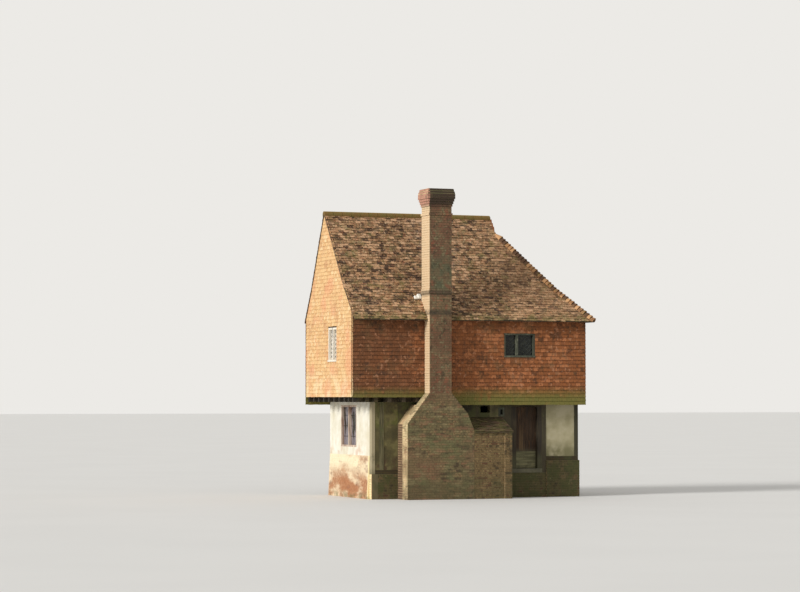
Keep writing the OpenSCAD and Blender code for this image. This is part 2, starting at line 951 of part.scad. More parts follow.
module oven_roof() house_frame() {
    slope = oven_rise / (low_y0 + stack_out);
    color(moss_tile)
        along_x(base_x1, oven_x1 + oven_lip)
            polygon([
                [-stack_out - oven_pier_out, oven_front_z],
                [-stack_out, oven_front_z],
                [low_y0, oven_front_z + oven_rise],
                [low_y0, oven_front_z + oven_rise + oven_roof_t],
                [-stack_out - oven_pier_out - oven_lip, oven_front_z + oven_roof_t - slope * oven_lip],
                [-stack_out - oven_pier_out - oven_lip, oven_front_z]
            ]);
}

// Threshold across the doorway, between the sill and the dark post
module threshold() house_frame() {
    color(stone)
        block([jamb_x0, low_y0 - plinth_out, low_plinth_h], [jamb_x1, low_y0_in, floor_z]);
}

// Jambs with an outer stop that the leaf closes behind
module door_jambs() house_frame() {
    color(dark_oak) {
        block([jamb_x0, low_y0, floor_z], [door_x - door_gap, low_y0_in, door_head_z]);
        block([leaf_x1 + door_gap, low_y0, floor_z], [jamb_x1, low_y0_in, door_head_z]);
        block([door_x - door_gap, low_y0, floor_z], [door_x + stop_w, stop_y1, door_head_z]);
        block([leaf_x1 - stop_w, low_y0, floor_z], [leaf_x1 + door_gap, stop_y1, door_head_z]);
    }
}

module door_head() house_frame() {
    color(dark_oak)
        block([jamb_x0, low_y0, door_head_z], [jamb_x1, low_y0_in, joist_z]);
}

// Boarded leaf with two ledges behind and crosswise boards over its foot
module door_leaf() house_frame() {
    color(dark_oak) {
        block([door_x, leaf_y0, leaf_z0], [leaf_x1, leaf_y1, leaf_z1]);
        for (z = ledge_z)
            block([door_x + ledge_end, leaf_y1, z], [leaf_x1 - ledge_end, leaf_y1 + ledge_t, z + ledge_h]);
    }
    color(stone)
        block(
            [door_x + stop_w + apron_gap, leaf_y0 - apron_t, leaf_z0],
            [leaf_x1 - stop_w - apron_gap, leaf_y0, leaf_z0 + apron_h]
        );
}

// Strap hinges on the leaf's back, each with an eye round its pin
module door_straps() house_frame() {
    color(iron)
        for (z = strap_z)
            difference() {
                union() {
                    block([pin_x, leaf_y1, z], [pin_x + strap_len, leaf_y1 + strap_t, z + strap_h]);
                    translate([pin_x, pin_y, z])
                        cylinder(h = strap_h, r = eye_r);
                }
                translate([pin_x, pin_y, z - past])
                    cylinder(h = strap_h + 2 * past, r = pin_r + pin_gap);
            }
}

// Hinge pins, each on an arm let into the jamb's side
module door_pintles() house_frame() {
    color(iron)
        for (z = strap_z) {
            translate([pin_x, pin_y, z - arm_h - pin_gap])
                cylinder(h = arm_h + pin_gap + strap_h, r = pin_r);
            block([door_x - door_gap, pin_y - pin_r, z - arm_h - pin_gap], [pin_x, pin_y + pin_r, z - pin_gap]);
        }
}

// A window's frame in the plane of X and Z: outer rim, mullions at the given places
module window_rim(w, h, mullions) {
    difference() {
        square([w, h]);
        translate([frame_w, frame_w])
            square([w - 2 * frame_w, h - 2 * frame_w]);
    }
    for (m = mullions)
        translate([m, frame_w])
            square([mullion_w, h - 2 * frame_w]);
}

module front_window_frame() house_frame() {
    color(oak)
        translate([front_win_x, 0, front_win_z]) {
            along_y(0, frame_d)
                window_rim(front_win_w, front_win_h, [front_mullion_at]);
            block([0, -sill_out, 0], [front_win_w, 0, frame_w]);
        }
}

module gable_window_frame() house_frame() {
    color(pale_frame)
        translate([0, gable_win_y, gable_win_z]) {
            along_x(0, frame_d)
                window_rim(gable_win_w, gable_win_h, [(gable_win_w - mullion_w) / 2]);
            block([-sill_out, 0, 0], [0, gable_win_w, frame_w]);
        }
}

module end_window_frame() house_frame() {
    step = (end_win_w - frame_w - mullion_w) / (end_mullions + 1);
    color(old_brick)
        translate([low_x0, end_win_y, end_win_z])
            along_x(0, frame_d)
                window_rim(
                    end_win_w, end_win_h,
                    [for (i = [1:end_mullions]) frame_w / 2 + i * step]
                );
}

module small_window_frame() house_frame() {
    color(oak)
        translate([door_post_x - small_win_w, low_y0, small_win_z])
            along_y(0, frame_d)
                window_rim(small_win_w, small_win_h, []);
}

// Glass behind each window's frame
module window_glass() house_frame() {
    color(glass_blue) {
        translate([front_win_x, frame_d, front_win_z])
            cube([front_win_w, glass_t, front_win_h]);
        translate([frame_d, gable_win_y, gable_win_z])
            cube([glass_t, gable_win_w, gable_win_h]);
        translate([low_x0 + frame_d, end_win_y, end_win_z])
            cube([glass_t, end_win_w, end_win_h]);
        translate([door_post_x - small_win_w, low_y0 + frame_d, small_win_z])
            cube([small_win_w, glass_t, small_win_h]);
    }
}

left_end_base();
front_plinth();
front_right_plinth();
right_end_plinth();
back_plinth();
sill_beams();
ground_floor();
lower_posts();
front_left_panel();
front_mid_wall();
plaster_panel();
left_end_wall();
lower_back_wall();
lower_right_wall();
floor_joists();
jetty_joists();
dragon_beam();
joist_infill();
upper_floor();
upper_front_wall_left();
upper_front_wall_right();
left_gable_wall();
upper_back_wall();
upper_right_wall();
front_roof_slope();
back_roof_slope();
hip_roof_slope();
ridge_tiles();
hip_tiles();
chimney_base();
chimney_stack();
chimney_cap();
oven_block();
oven_roof();
threshold();
door_jambs();
door_head();
door_leaf();
door_straps();
door_pintles();
front_window_frame();
gable_window_frame();
end_window_frame();
small_window_frame();
window_glass();
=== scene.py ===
"""Looks of a jettied, tile-hung house with an outside brick chimney.

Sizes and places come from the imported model. The walls and slopes get their tiles, the masonry
its bricks, the door its boards and the windows their leads, and every surface gets a finish.
Metres, +Z up, +X right along the front, +Y from the front to the back.
"""
import logging
import math
import random
from collections.abc import Callable, Iterable
from dataclasses import dataclass, field, replace
from enum import Enum
from typing import Any

import bmesh
import bpy
from mathutils import Matrix, Vector


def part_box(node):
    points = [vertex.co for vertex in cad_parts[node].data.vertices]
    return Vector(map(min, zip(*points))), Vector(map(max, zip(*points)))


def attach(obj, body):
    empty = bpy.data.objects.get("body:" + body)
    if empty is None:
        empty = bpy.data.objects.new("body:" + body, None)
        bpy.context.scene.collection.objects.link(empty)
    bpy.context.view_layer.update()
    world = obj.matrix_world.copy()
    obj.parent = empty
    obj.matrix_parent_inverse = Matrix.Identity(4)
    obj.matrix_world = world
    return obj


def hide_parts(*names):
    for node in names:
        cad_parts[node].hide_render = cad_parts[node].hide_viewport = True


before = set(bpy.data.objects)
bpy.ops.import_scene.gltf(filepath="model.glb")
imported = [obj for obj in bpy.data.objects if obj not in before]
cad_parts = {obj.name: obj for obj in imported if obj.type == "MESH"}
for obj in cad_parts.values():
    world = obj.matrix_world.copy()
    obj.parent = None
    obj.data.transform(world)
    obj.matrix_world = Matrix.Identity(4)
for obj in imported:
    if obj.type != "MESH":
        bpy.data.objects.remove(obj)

LOG = logging.getLogger("house")
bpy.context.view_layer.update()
X, Y, Z = Vector((1, 0, 0)), Vector((0, 1, 0)), Vector((0, 0, 1))

Triple = tuple[float, float, float]
# An axis number, the place where something is gone and the place where it is full.
Fade = tuple[int, float, float]
# A stretch along a course, and what gives a course's stretches from its run and rise.
Span = tuple[float, float]
Spans = Callable[[float, float], list[Span]]

# Ranges over which a value fades in: what a noise keeps to, how far a face looks up or left
# before it counts as level or sunlit, and where the next tile's shade lies on a tile.
NOISE = (0.3, 0.7)
UPWARD = (0.7, 0.95)
LEFTWARD = (-0.35, -0.9)
SHADED = (0.28, 0.60)
# The middle of a noise, a tone or a ramp.
MIDDLE = 0.5


class Way(Enum):
    """The direction in which a timber's grain runs, as stretches of its pattern."""

    ALONG_X = (0.07, 1.0, 1.0)
    ALONG_Y = (1.0, 0.07, 1.0)
    UPRIGHT = (1.0, 1.0, 0.07)


def paint(code: str) -> tuple[float, float, float, float]:
    """Turns a six-digit colour code into the linear colour that a shader takes.

    Args:
        code: Red, green and blue as hexadecimal digits.

    Returns:
        The linear colour with full cover.
    """
    parts = [int(code[i:i + 2], 16) / 255 for i in (0, 2, 4)]
    linear = [p / 12.92 if p <= 0.04045 else ((p + 0.055) / 1.055) ** 2.4 for p in parts]
    return (*linear, 1.0)


class Tap:
    """An output of a shader node, which Python's operators combine into Math nodes."""

    def __init__(self, board: "Board", plug: bpy.types.NodeSocket) -> None:
        """Keeps the output and the board that it is on."""
        self.board = board
        self.plug = plug

    def __add__(self, other: "Tap | float") -> "Tap":
        """Adds a value."""
        return self.board.math("ADD", self, other)

    def __radd__(self, other: float) -> "Tap":
        """Adds to a value."""
        return self.board.math("ADD", other, self)

    def __sub__(self, other: "Tap | float") -> "Tap":
        """Takes a value away."""
        return self.board.math("SUBTRACT", self, other)

    def __rsub__(self, other: float) -> "Tap":
        """Takes this away from a value."""
        return self.board.math("SUBTRACT", other, self)

    def __mul__(self, other: "Tap | float") -> "Tap":
        """Multiplies by a value."""
        return self.board.math("MULTIPLY", self, other)

    def __rmul__(self, other: float) -> "Tap":
        """Multiplies a value."""
        return self.board.math("MULTIPLY", other, self)


class Board:
    """The shader nodes of a material or of the world."""

    def __init__(self, net: bpy.types.NodeTree) -> None:
        """Clears the nodes that come with it.

        Args:
            net: What the nodes and their links are on.
        """
        self.net = net
        self.net.nodes.clear()

    def node(
        self, kind: str, settings: dict[str, Any] | None = None, inputs: dict[Any, Any] | None = None
    ) -> bpy.types.Node:
        """Makes a node, sets it up and fills or links its sockets.

        Args:
            kind: The node's type.
            settings: Its settings, such as an operation; stops holds a ramp's places and colours.
            inputs: A value or a Tap for each socket's name or number.

        Returns:
            The new node.
        """
        made = self.net.nodes.new(kind)
        for key, value in (settings or {}).items():
            if key == "stops":
                self._set_stops(made.color_ramp, value)
            else:
                setattr(made, key, value)
        for key, value in (inputs or {}).items():
            self.feed(made.inputs[key], value)
        return made

    def tap(
        self, kind: str, settings: dict[str, Any] | None = None,
        inputs: dict[Any, Any] | None = None, output: int | str = 0,
    ) -> Tap:
        """Makes a node in the same way and gives one of its outputs."""
        return Tap(self, self.node(kind, settings, inputs).outputs[output])

    def feed(self, socket: bpy.types.NodeSocket, value: Any) -> None:
        """Links a Tap to a socket, or sets the socket to a plain value.

        Args:
            socket: A node's input.
            value: What it gets.
        """
        if isinstance(value, Tap):
            self.net.links.new(value.plug, socket)
        else:
            socket.default_value = value

    @staticmethod
    def _set_stops(ramp: bpy.types.ColorRamp, stops: list[tuple[float, str]]) -> None:
        """Gives a ramp its stops.

        Args:
            ramp: The ramp of a new node.
            stops: Each colour's place and code, in order.
        """
        while len(ramp.elements) < len(stops):
            ramp.elements.new(MIDDLE)
        for element, (where, code) in zip(ramp.elements, stops):
            element.position = where
            element.color = paint(code)

    def math(self, operation: str, *values: Tap | float, clamp: bool = False) -> Tap:
        """Combines numbers with one Math node.

        Args:
            operation: The Math node's operation.
            values: Its inputs in order.
            clamp: Whether the result stays between 0 and 1.

        Returns:
            The result.
        """
        settings = {"operation": operation, "use_clamp": clamp}
        return self.tap("ShaderNodeMath", settings, dict(enumerate(values)))


class Sheet(Board):
    """The node sheet of one material, which ends in one Principled shader."""

    def __init__(self, name: str) -> None:
        """Makes an empty material.

        Args:
            name: The material's name.
        """
        self.material = bpy.data.materials.new(name)
        self.material.use_nodes = True
        super().__init__(self.material.node_tree)
        self.place = self.tap("ShaderNodeTexCoord", output="Object")
        self.shader = self.node("ShaderNodeBsdfPrincipled")
        self.node("ShaderNodeOutputMaterial", {}, {"Surface": Tap(self, self.shader.outputs[0])})

    def mix(self, share: Tap | float, first: Tap | tuple, second: Tap | tuple) -> Tap:
        """Mixes two colours, all of the second where share is 1."""
        settings = {"data_type": "RGBA", "clamp_factor": True}
        return self.tap("ShaderNodeMix", settings, {0: share, 6: first, 7: second}, 2)

    def ramp(self, value: Tap, colours: tuple[str, ...]) -> Tap:
        """Spreads colours evenly over a value from 0 to 1."""
        stops = [(i / (len(colours) - 1), code) for i, code in enumerate(colours)]
        return self.tap("ShaderNodeValToRGB", {"stops": stops}, {0: value})

    def noise(
        self, scale: float, detail: float, stretch: Triple = (1, 1, 1), shift: float = 0.0
    ) -> Tap:
        """A cloudy value around 0.5.

        Args:
            scale: Clouds to a metre.
            detail: How many finer layers it has.
            stretch: How much faster it changes along each axis.
            shift: Moves the pattern, so that two of them differ.

        Returns:
            The value.
        """
        inputs = {"Vector": self.place, "Scale": stretch, "Location": (shift, shift, shift)}
        where = self.tap("ShaderNodeMapping", {}, inputs)
        return self.tap("ShaderNodeTexNoise", {}, {"Vector": where, "Scale": scale, "Detail": detail})

    def part(self, vector: Tap, axis: int) -> Tap:
        """One of a vector's three numbers."""
        return self.tap("ShaderNodeSeparateXYZ", {}, {0: vector}, axis)

    def facing(self, axis: int) -> Tap:
        """How far the surface faces along an axis, from -1 to 1."""
        return self.part(self.tap("ShaderNodeNewGeometry", output="Normal"), axis)

    def fade(self, value: Tap, start: float, end: float) -> Tap:
        """Rises smoothly from 0 to 1 between two values.

        Args:
            value: What it follows.
            start: Where it is 0.
            end: Where it is 1, above or below the start.

        Returns:
            The result.
        """
        low, high, first, last = (start, end, 0.0, 1.0) if start < end else (end, start, 1.0, 0.0)
        inputs = {"Value": value, "From Min": low, "From Max": high, "To Min": first, "To Max": last}
        settings = {"interpolation_type": "SMOOTHSTEP", "clamp": True}
        return self.tap("ShaderNodeMapRange", settings, inputs)

    def carried(self, name: str) -> Tap:
        """A number that the mesh carries: a block's tone, the rise up its face, or left."""
        return self.tap("ShaderNodeAttribute", {"attribute_name": name}, output="Fac")

    def finish(self, colour: Tap, rough: Tap, height: Tap, depth: float) -> None:
        """Feeds the shader.

        Args:
            colour: The base colour.
            rough: The roughness.
            height: What the bump follows.
            depth: The bump's height in metres.
        """
        bump = {"Distance": depth, "Strength": 1.0, "Height": height}
        self.feed(self.shader.inputs["Base Color"], colour)
        self.feed(self.shader.inputs["Roughness"], rough)
        self.feed(self.shader.inputs["Normal"], self.tap("ShaderNodeBump", {}, bump))


@dataclass(frozen=True)
class Stain:
    """A colour that comes through in patches, in the zone of the house that its fades leave.

    Scale is patches to a metre, and the noise at start and full is where a patch begins and
    where it has its whole amount.
    """

    colour: str
    amount: float
    scale: float
    start: float
    full: float
    zone: tuple[Fade, ...] = ()
    stretch: Triple = (1.0, 1.0, 1.0)
    detail: float = 4.0

    def over(self, sheet: Sheet, base: Tap, shift: float) -> Tap:
        """Lays the stain over a colour.

        Args:
            sheet: The material's nodes.
            base: The colour under it.
            shift: Moves its patches, so that two stains differ.

        Returns:
            The stained colour.
        """
        cloud = sheet.noise(self.scale, self.detail, self.stretch, shift)
        mask = sheet.fade(cloud, self.start, self.full) * self.amount
        for axis, gone, whole in self.zone:
            mask = mask * sheet.fade(sheet.part(sheet.place, axis), gone, whole)
        return sheet.mix(mask, base, paint(self.colour))


@dataclass(frozen=True)
class Finish:
    """What every finish shares: its name, its stains and its coarse and fine unevenness.

    Grain is the fine pattern's scale, coarse the clouds' share of that, and depth the bump's
    height. The roughness starts dip under rough and rises by swing where the pattern is high.
    Shift is the step between the patterns of two stains.
    """

    name: str
    colours: tuple[str, ...]
    stains: tuple[Stain, ...] = ()
    rough: float = 0.85
    grain: float = 40.0
    depth: float = 0.004
    coarse: float = 0.1
    dip: float = 0.15
    swing: float = 0.2
    shift: float = 3.7

    def sheet(self) -> bpy.types.Material:
        """Makes the material, or takes the one that was made before.

        Returns:
            The material.
        """
        found = bpy.data.materials.get(self.name)
        if found:
            return found
        sheet = Sheet(self.name)
        self.fill(sheet)
        return sheet.material

    def stained(self, sheet: Sheet, base: Tap) -> Tap:
        """Lays every stain over the base colour in turn.

        Args:
            sheet: The material's nodes.
            base: The colour under them.

        Returns:
            The stained colour.
        """
        for i, stain in enumerate(self.stains, 1):
            base = stain.over(sheet, base, self.shift * i)
        return base

    def clouds(self, sheet: Sheet) -> Tap:
        """Broad clouds from 0 to 1."""
        return sheet.fade(sheet.noise(self.grain * self.coarse, detail=6.0), *NOISE)

    def roughness(self, pattern: Tap) -> Tap:
        """The roughness, which follows a pattern."""
        return self.rough - self.dip + pattern * self.swing

    def fill(self, sheet: Sheet) -> None:
        """Builds the nodes. The plain finish follows clouds of its colours.

        Args:
            sheet: The material's nodes.
        """
        base = sheet.ramp(self.clouds(sheet), self.colours)
        fine = sheet.noise(self.grain, detail=5.0)
        sheet.finish(self.stained(sheet, base), self.roughness(fine), fine, self.depth)


@dataclass(frozen=True)
class Clay(Finish):
    """Tiles or bricks, each with a tone of its own; blocks on a left face may get painted sunlight.

    Spread is how much the blocks differ, and wide, patch and fleck are how much clouds of
    three sizes add to that. Shade and dirt is how dark each tile is painted under the next one,
    where that tile's shade falls, and crest the colour of its level top. By facing, the painted
    sunlight follows the surface and not the block.
    """

    dip: float = 0.1
    swing: float = 0.15
    spread: float = 1.0
    wide: float = 0.9
    wide_scale: float = 1.3
    patch: float = 0.7
    patch_scale: float = 8.0
    patch_shift: float = 5.3
    fleck: float = 0.6
    shade_and_dirt: float = 0.0
    shade_and_dirt_colour: str = "2a1c12"
    crest: str = ""
    crested: float = 0.8
    sunlight_paint: str = ""
    sunlight_painted: float = 0.0
    sunlight_paint_low: float = 0.75
    sunlight_paint_swing: float = 0.5
    by_facing: bool = False

    def fill(self, sheet: Sheet) -> None:
        """Builds the nodes: the block's tone, clouds over it, painted shade and sunlight, and stains.

        Args:
            sheet: The material's nodes.
        """
        wide = sheet.noise(self.wide_scale, detail=3.0) - MIDDLE
        patch = sheet.noise(self.patch_scale, detail=4.0, shift=self.patch_shift) - MIDDLE
        fine = sheet.noise(self.grain, detail=5.0)
        own = (sheet.carried("tone") - MIDDLE) * self.spread + MIDDLE
        tone = own + wide * self.wide + patch * self.patch
        tone = sheet.math("ADD", tone, (fine - MIDDLE) * self.fleck, clamp=True)
        base = sheet.ramp(tone, self.colours)
        if self.shade_and_dirt:
            # Painted shade and dirt: each tile darkens where the tail of the next one covers it.
            under = sheet.fade(sheet.carried("rise"), *SHADED)
            base = sheet.mix(under * self.shade_and_dirt, base, paint(self.shade_and_dirt_colour))
        if self.crest:
            level = sheet.fade(sheet.facing(2), *UPWARD)
            base = sheet.mix(level * self.crested, base, paint(self.crest))
        # Painted sunlight: faces or blocks that look left get a paler colour.
        if self.sunlight_paint:
            left = sheet.fade(sheet.facing(0), *LEFTWARD) if self.by_facing else sheet.carried("left")
            uneven = self.sunlight_paint_low + fine * self.sunlight_paint_swing
            base = sheet.mix(left * self.sunlight_painted * uneven, base, paint(self.sunlight_paint))
        sheet.finish(self.stained(sheet, base), self.roughness(fine), fine, self.depth)


@dataclass(frozen=True)
class Timber(Finish):
    """Sawn or cleft wood, whose grain runs one way.

    Spread is how much the boards differ. The shakes are cracks along the grain, at their
    share of its scale.
    """

    rough: float = 0.72
    dip: float = 0.0
    way: Way = Way.UPRIGHT
    spread: float = 0.35
    fibres: Span = (0.25, 0.75)
    shakes: float = 0.3
    shake_shift: float = 9.1
    shake_range: Span = (0.36, 0.30)
    shake_colour: str = "1f1a12"
    shake_tint: float = 0.6
    shake_depth: float = 0.8

    def fill(self, sheet: Sheet) -> None:
        """Builds the nodes: long fibres, shakes and the tone of each board.

        Args:
            sheet: The material's nodes.
        """
        fibre = sheet.noise(self.grain, 6.0, self.way.value)
        shake = sheet.noise(self.grain * self.shakes, 2.0, self.way.value, self.shake_shift)
        own = (sheet.carried("tone") - MIDDLE) * self.spread
        tone = sheet.math("ADD", own, sheet.fade(fibre, *self.fibres), clamp=True)
        crack = sheet.fade(shake, *self.shake_range)
        base = sheet.ramp(tone, self.colours)
        base = sheet.mix(crack * self.shake_tint, base, paint(self.shake_colour))
        height = fibre - crack * self.shake_depth
        sheet.finish(self.stained(sheet, base), self.roughness(fibre), height, self.depth)


@dataclass(frozen=True)
class TwoSided(Finish):
    """A wall or slope whose outer side is under its tiles: a different colour shows inside.

    Inside lies between the two corners, and margin is how fast it ends there.
    """

    rough: float = 0.8
    dip: float = 0.0
    swing: float = 0.15
    inner: tuple[str, ...] = ()
    low: Triple = (0, 0, 0)
    high: Triple = (0, 0, 0)
    margin: float = 0.01

    def fill(self, sheet: Sheet) -> None:
        """Builds the nodes: inner colours between the two corners, outer ones past them.

        Args:
            sheet: The material's nodes.
        """
        inside: Tap | float = 1.0
        for axis, (low, high) in enumerate(zip(self.low, self.high)):
            where = sheet.part(sheet.place, axis)
            above = sheet.fade(where, low - self.margin, low)
            inside = inside * (above * sheet.fade(where, high + self.margin, high))
        cloud = self.clouds(sheet)
        outer = self.stained(sheet, sheet.ramp(cloud, self.colours))
        fine = sheet.noise(self.grain, detail=5.0)
        base = sheet.mix(inside, outer, sheet.ramp(cloud, self.inner))
        sheet.finish(base, self.roughness(fine), fine, self.depth)


@dataclass(frozen=True)
class Pane(Finish):
    """Old hand-made glass that is dark from outside, with a little sky in it."""

    rough: float = 0.12
    dip: float = 0.0
    swing: float = 0.12
    ior: float = 1.35

    def fill(self, sheet: Sheet) -> None:
        """Builds the nodes: uneven, glossy and mostly dark.

        Args:
            sheet: The material's nodes.
        """
        wave = sheet.noise(self.grain, detail=2.0)
        base = sheet.ramp(sheet.fade(wave, *NOISE), self.colours)
        sheet.finish(self.stained(sheet, base), self.roughness(wave), wave, self.depth)
        sheet.feed(sheet.shader.inputs["IOR"], self.ior)


@dataclass(frozen=True)
class Metal(Finish):
    """Forged iron or sheet lead."""

    dip: float = 0.1
    metallic: float = 0.8

    def fill(self, sheet: Sheet) -> None:
        """Builds the nodes: clouds of its colours and hammer marks.

        Args:
            sheet: The material's nodes.
        """
        cloud = sheet.noise(self.grain, detail=4.0)
        base = sheet.ramp(sheet.fade(cloud, *NOISE), self.colours)
        sheet.finish(self.stained(sheet, base), self.roughness(cloud), cloud, self.depth)
        sheet.feed(sheet.shader.inputs["Metallic"], self.metallic)


@dataclass(frozen=True)
class Face:
    """A side of the house that is laid in courses.

    Along runs left to right as seen from outside, and the section goes up from the start in
    steps of run (towards the house) and rise.
    """

    start: Vector
    along: Vector
    inward: Vector
    section: tuple[Span, ...]

    def length(self) -> float:
        """The section's length."""
        return sum(math.dist(a, b) for a, b in zip(self.section, self.section[1:]))

    def at(self, distance: float) -> Span:
        """Goes up the section, and past its ends in a straight line.

        Args:
            distance: How far it goes.

        Returns:
            The run and the rise there.
        """
        left = distance
        parts = list(zip(self.section, self.section[1:]))
        while len(parts) > 1 and left > math.dist(*parts[0]):
            left -= math.dist(*parts.pop(0))
        (run, rise), (next_run, next_rise) = parts[0]
        share = left / math.dist(*parts[0])
        return run + (next_run - run) * share, rise + (next_rise - rise) * share

    def point(self, distance: float) -> Vector:
        """The point on the face's first edge at a distance up the section."""
        run, rise = self.at(distance)
        return self.start + self.inward * run + Z * rise


class Heap:
    """Blocks gathered in one mesh, each with a random tone that its finish reads."""

    def __init__(self, name: str, seed: int) -> None:
        """Starts an empty mesh.

        Args:
            name: The piece's name.
            seed: What its random draws start from.
        """
        self.name = name
        self.mesh = bmesh.new()
        self.tone = self.mesh.verts.layers.float.new("tone")
        self.rise = self.mesh.verts.layers.float.new("rise")
        self.left = self.mesh.verts.layers.float.new("left")
        self.draw = random.Random(seed)
        self.count = 0

    def mark(self, verts: Iterable[bmesh.types.BMVert]) -> None:
        """Gives one block a random tone.

        Args:
            verts: The block's vertices.
        """
        tone = self.draw.random()
        for vert in verts:
            vert[self.tone] = tone
        self.count += 1

    def block(self, matrix: Matrix) -> list[bmesh.types.BMVert]:
        """Adds a unit cube that the matrix shapes and places.

        Args:
            matrix: Turns the unit cube into the block.

        Returns:
            The block's vertices.
        """
        verts = bmesh.ops.create_cube(self.mesh, size=1.0, matrix=matrix)["verts"]
        self.mark(verts)
        return verts

    def box(self, low: Iterable[float], high: Iterable[float], edge: float) -> None:
        """Adds a box between two corners, with its edges rounded off.

        Args:
            low: The lowest corner.
            high: The highest corner.
            edge: Width of the rounding.
        """
        a, b = Vector(low), Vector(high)
        matrix = Matrix.Translation((a + b) / 2) @ Matrix.Diagonal((*(b - a), 1.0))
        self.soften(self.block(matrix), edge)

    def soften(self, verts: list[bmesh.types.BMVert], edge: float) -> None:
        """Bevels every edge between the vertices, and keeps their tone.

        Args:
            verts: A block's vertices.
            edge: Width of the bevel.
        """
        tone = verts[0][self.tone]
        edges = list({e for v in verts for e in v.link_edges})
        made = bmesh.ops.bevel(
            self.mesh, geom=edges, offset=edge, affect="EDGES", segments=1, profile=0.5, material=-1
        )
        for vert in made["verts"]:
            vert[self.tone] = tone

    def rod(self, start: Vector, end: Vector, radius: float, sides: int = 8) -> None:
        """Adds a round bar.

        Args:
            start: The middle of its one end.
            end: The middle of its other end.
            radius: Its radius.
            sides: How many sides it has.
        """
        way = end - start
        turn = way.to_track_quat("Z", "Y").to_matrix().to_4x4()
        made = bmesh.ops.create_cone(
            self.mesh, cap_ends=True, segments=sides, radius1=radius, radius2=radius,
            depth=way.length, matrix=Matrix.Translation((start + end) / 2) @ turn,
        )
        self.mark(made["verts"])

    def piece(
        self, finish: Finish, slot: str, body: str = "house", replaces: Iterable[str] = ()
    ) -> None:
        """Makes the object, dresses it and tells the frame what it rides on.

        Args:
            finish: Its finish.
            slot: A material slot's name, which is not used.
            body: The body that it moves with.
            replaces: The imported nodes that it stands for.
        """
        bmesh.ops.recalc_face_normals(self.mesh, faces=self.mesh.faces)
        data = bpy.data.meshes.new(self.name)
        self.mesh.to_mesh(data)
        self.mesh.free()
        data.materials.append(finish.sheet())
        piece = bpy.data.objects.new(self.name, data)
        bpy.context.scene.collection.objects.link(piece)
        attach(piece, body)
        if replaces:
            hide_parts(*replaces)
        LOG.info("%s: %d blocks, %d faces", self.name, self.count, len(data.polygons))


@dataclass(frozen=True)
class Bond:
    """How blocks are laid in courses; widths and shifts take turns from course to course.

    Gauge is a course's height, length and thick are a block's own, and tail and head are how
    far its foot and its top stand out from the face. Joint is the gap beside it. Wobble, twist
    and slip are how far it strays outwards, round and up, follow is the share of the wobble
    that its top takes, and least is the narrowest block that is cut.
    """

    widths: tuple[float, ...]
    shifts: tuple[float, ...]
    gauge: float
    length: float
    thick: float
    tail: float
    head: float
    joint: float
    wobble: float
    twist: float
    slip: float = 0.0
    follow: float = 0.3
    least: float = 0.03

    def lay(
        self, heap: Heap, face: Face, spans: Spans, first: float = 0.0, last: float | None = None
    ) -> None:
        """Lays courses up a face.

        Args:
            heap: Where the blocks go.
            face: The face that they cover.
            spans: The stretches along the face that a course covers, from its run and rise.
            first: Distance up the face at which the first course starts.
            last: Distance up the face at which the last course ends, or the face's length.
        """
        top = face.length() if last is None else last
        rows = max(1, round((top - first) / self.gauge))
        step = (top - first) / rows
        for row in range(rows):
            foot = first + row * step
            width = self.widths[row % len(self.widths)]
            shift = self.shifts[row % len(self.shifts)]
            low = face.point(foot)
            high = face.point(foot + self.length * step / self.gauge)
            for start, end in spans(*face.at(foot + step / 2)):
                edge = start
                slot = math.floor((start - shift) / width)
                while edge < end - self.least:
                    slot += 1
                    nearest = min(end, shift + slot * width)
                    if end - nearest < self.least:
                        nearest = end
                    if nearest - edge < self.least:
                        continue
                    self._set(heap, face, low, high, (edge, nearest))
                    edge = nearest

    def _set(self, heap: Heap, face: Face, low: Vector, high: Vector, span: Span) -> None:
        """Sets one block.

        Args:
            heap: Where it goes.
            face: The face that it covers.
            low: The foot of its course, on the face's first edge.
            high: The place of its top there.
            span: Its two ends along the course.
        """
        lift = heap.draw.uniform(-1, 1) * self.wobble
        out = face.along.cross(high - low).normalized()
        foot = low + out * (self.tail + lift)
        crown = high + out * (self.head + lift * self.follow)
        up = crown - foot
        out = face.along.cross(up).normalized()
        start, end = span
        centre = (foot + crown) / 2 + face.along * (start + end) / 2 - out * self.thick / 2
        if self.slip:
            centre += up.normalized() * heap.draw.uniform(-1, 1) * self.slip
        across = face.along * (end - start - self.joint)
        turn = Matrix.Rotation(heap.draw.uniform(-1, 1) * self.twist, 3, out)
        matrix = Matrix((turn @ across, turn @ up, out * self.thick)).transposed().to_4x4()
        matrix.translation = centre
        for vert in heap.block(matrix):
            vert[heap.rise] = 1.0 if (vert.co - centre).dot(up) > 0 else 0.0
            # How far the block faces left, which the painted sunlight follows.
            vert[heap.left] = max(0.0, -out.x)


HUNG = Bond(
    widths=(0.165,), shifts=(0.0, 0.0825), gauge=0.119, length=0.20, thick=0.016, tail=0.034,
    head=0.002, joint=0.004, wobble=0.004, twist=0.016, slip=0.004,
)
GABLE_HUNG = replace(HUNG, tail=0.024, joint=0.002)
PLAIN = Bond(
    widths=(0.168,), shifts=(0.0, 0.084), gauge=0.108, length=0.19, thick=0.015, tail=0.022,
    head=-0.010, joint=0.005, wobble=0.012, twist=0.065, slip=0.020,
)
BRICK = Bond(
    widths=(0.225, 0.1125), shifts=(0.0, 0.0563), gauge=0.0775, length=0.0655, thick=0.024,
    tail=0.006, head=0.006, joint=0.010, wobble=0.0015, twist=0.004,
)
WORN_BRICK = replace(BRICK, length=0.068, thick=0.03, joint=0.008, wobble=0.005, twist=0.012)

# Stretches of a stain's patches: level bands, long ones on the left end, and runs down a face.
BANDS = (0.6, 0.6, 1.8)
LONG = (1.0, 0.4, 1.0)
RUNS = (1.0, 1.0, 0.3)
# Zones of the stack: all but its left side with painted sunlight, the cap, and what is below the cap.
OFF_LEFT = (0, -1.635, -1.60)
CAP = (2, 9.15, 9.35)
BELOW_CAP = (2, 9.25, 9.10)
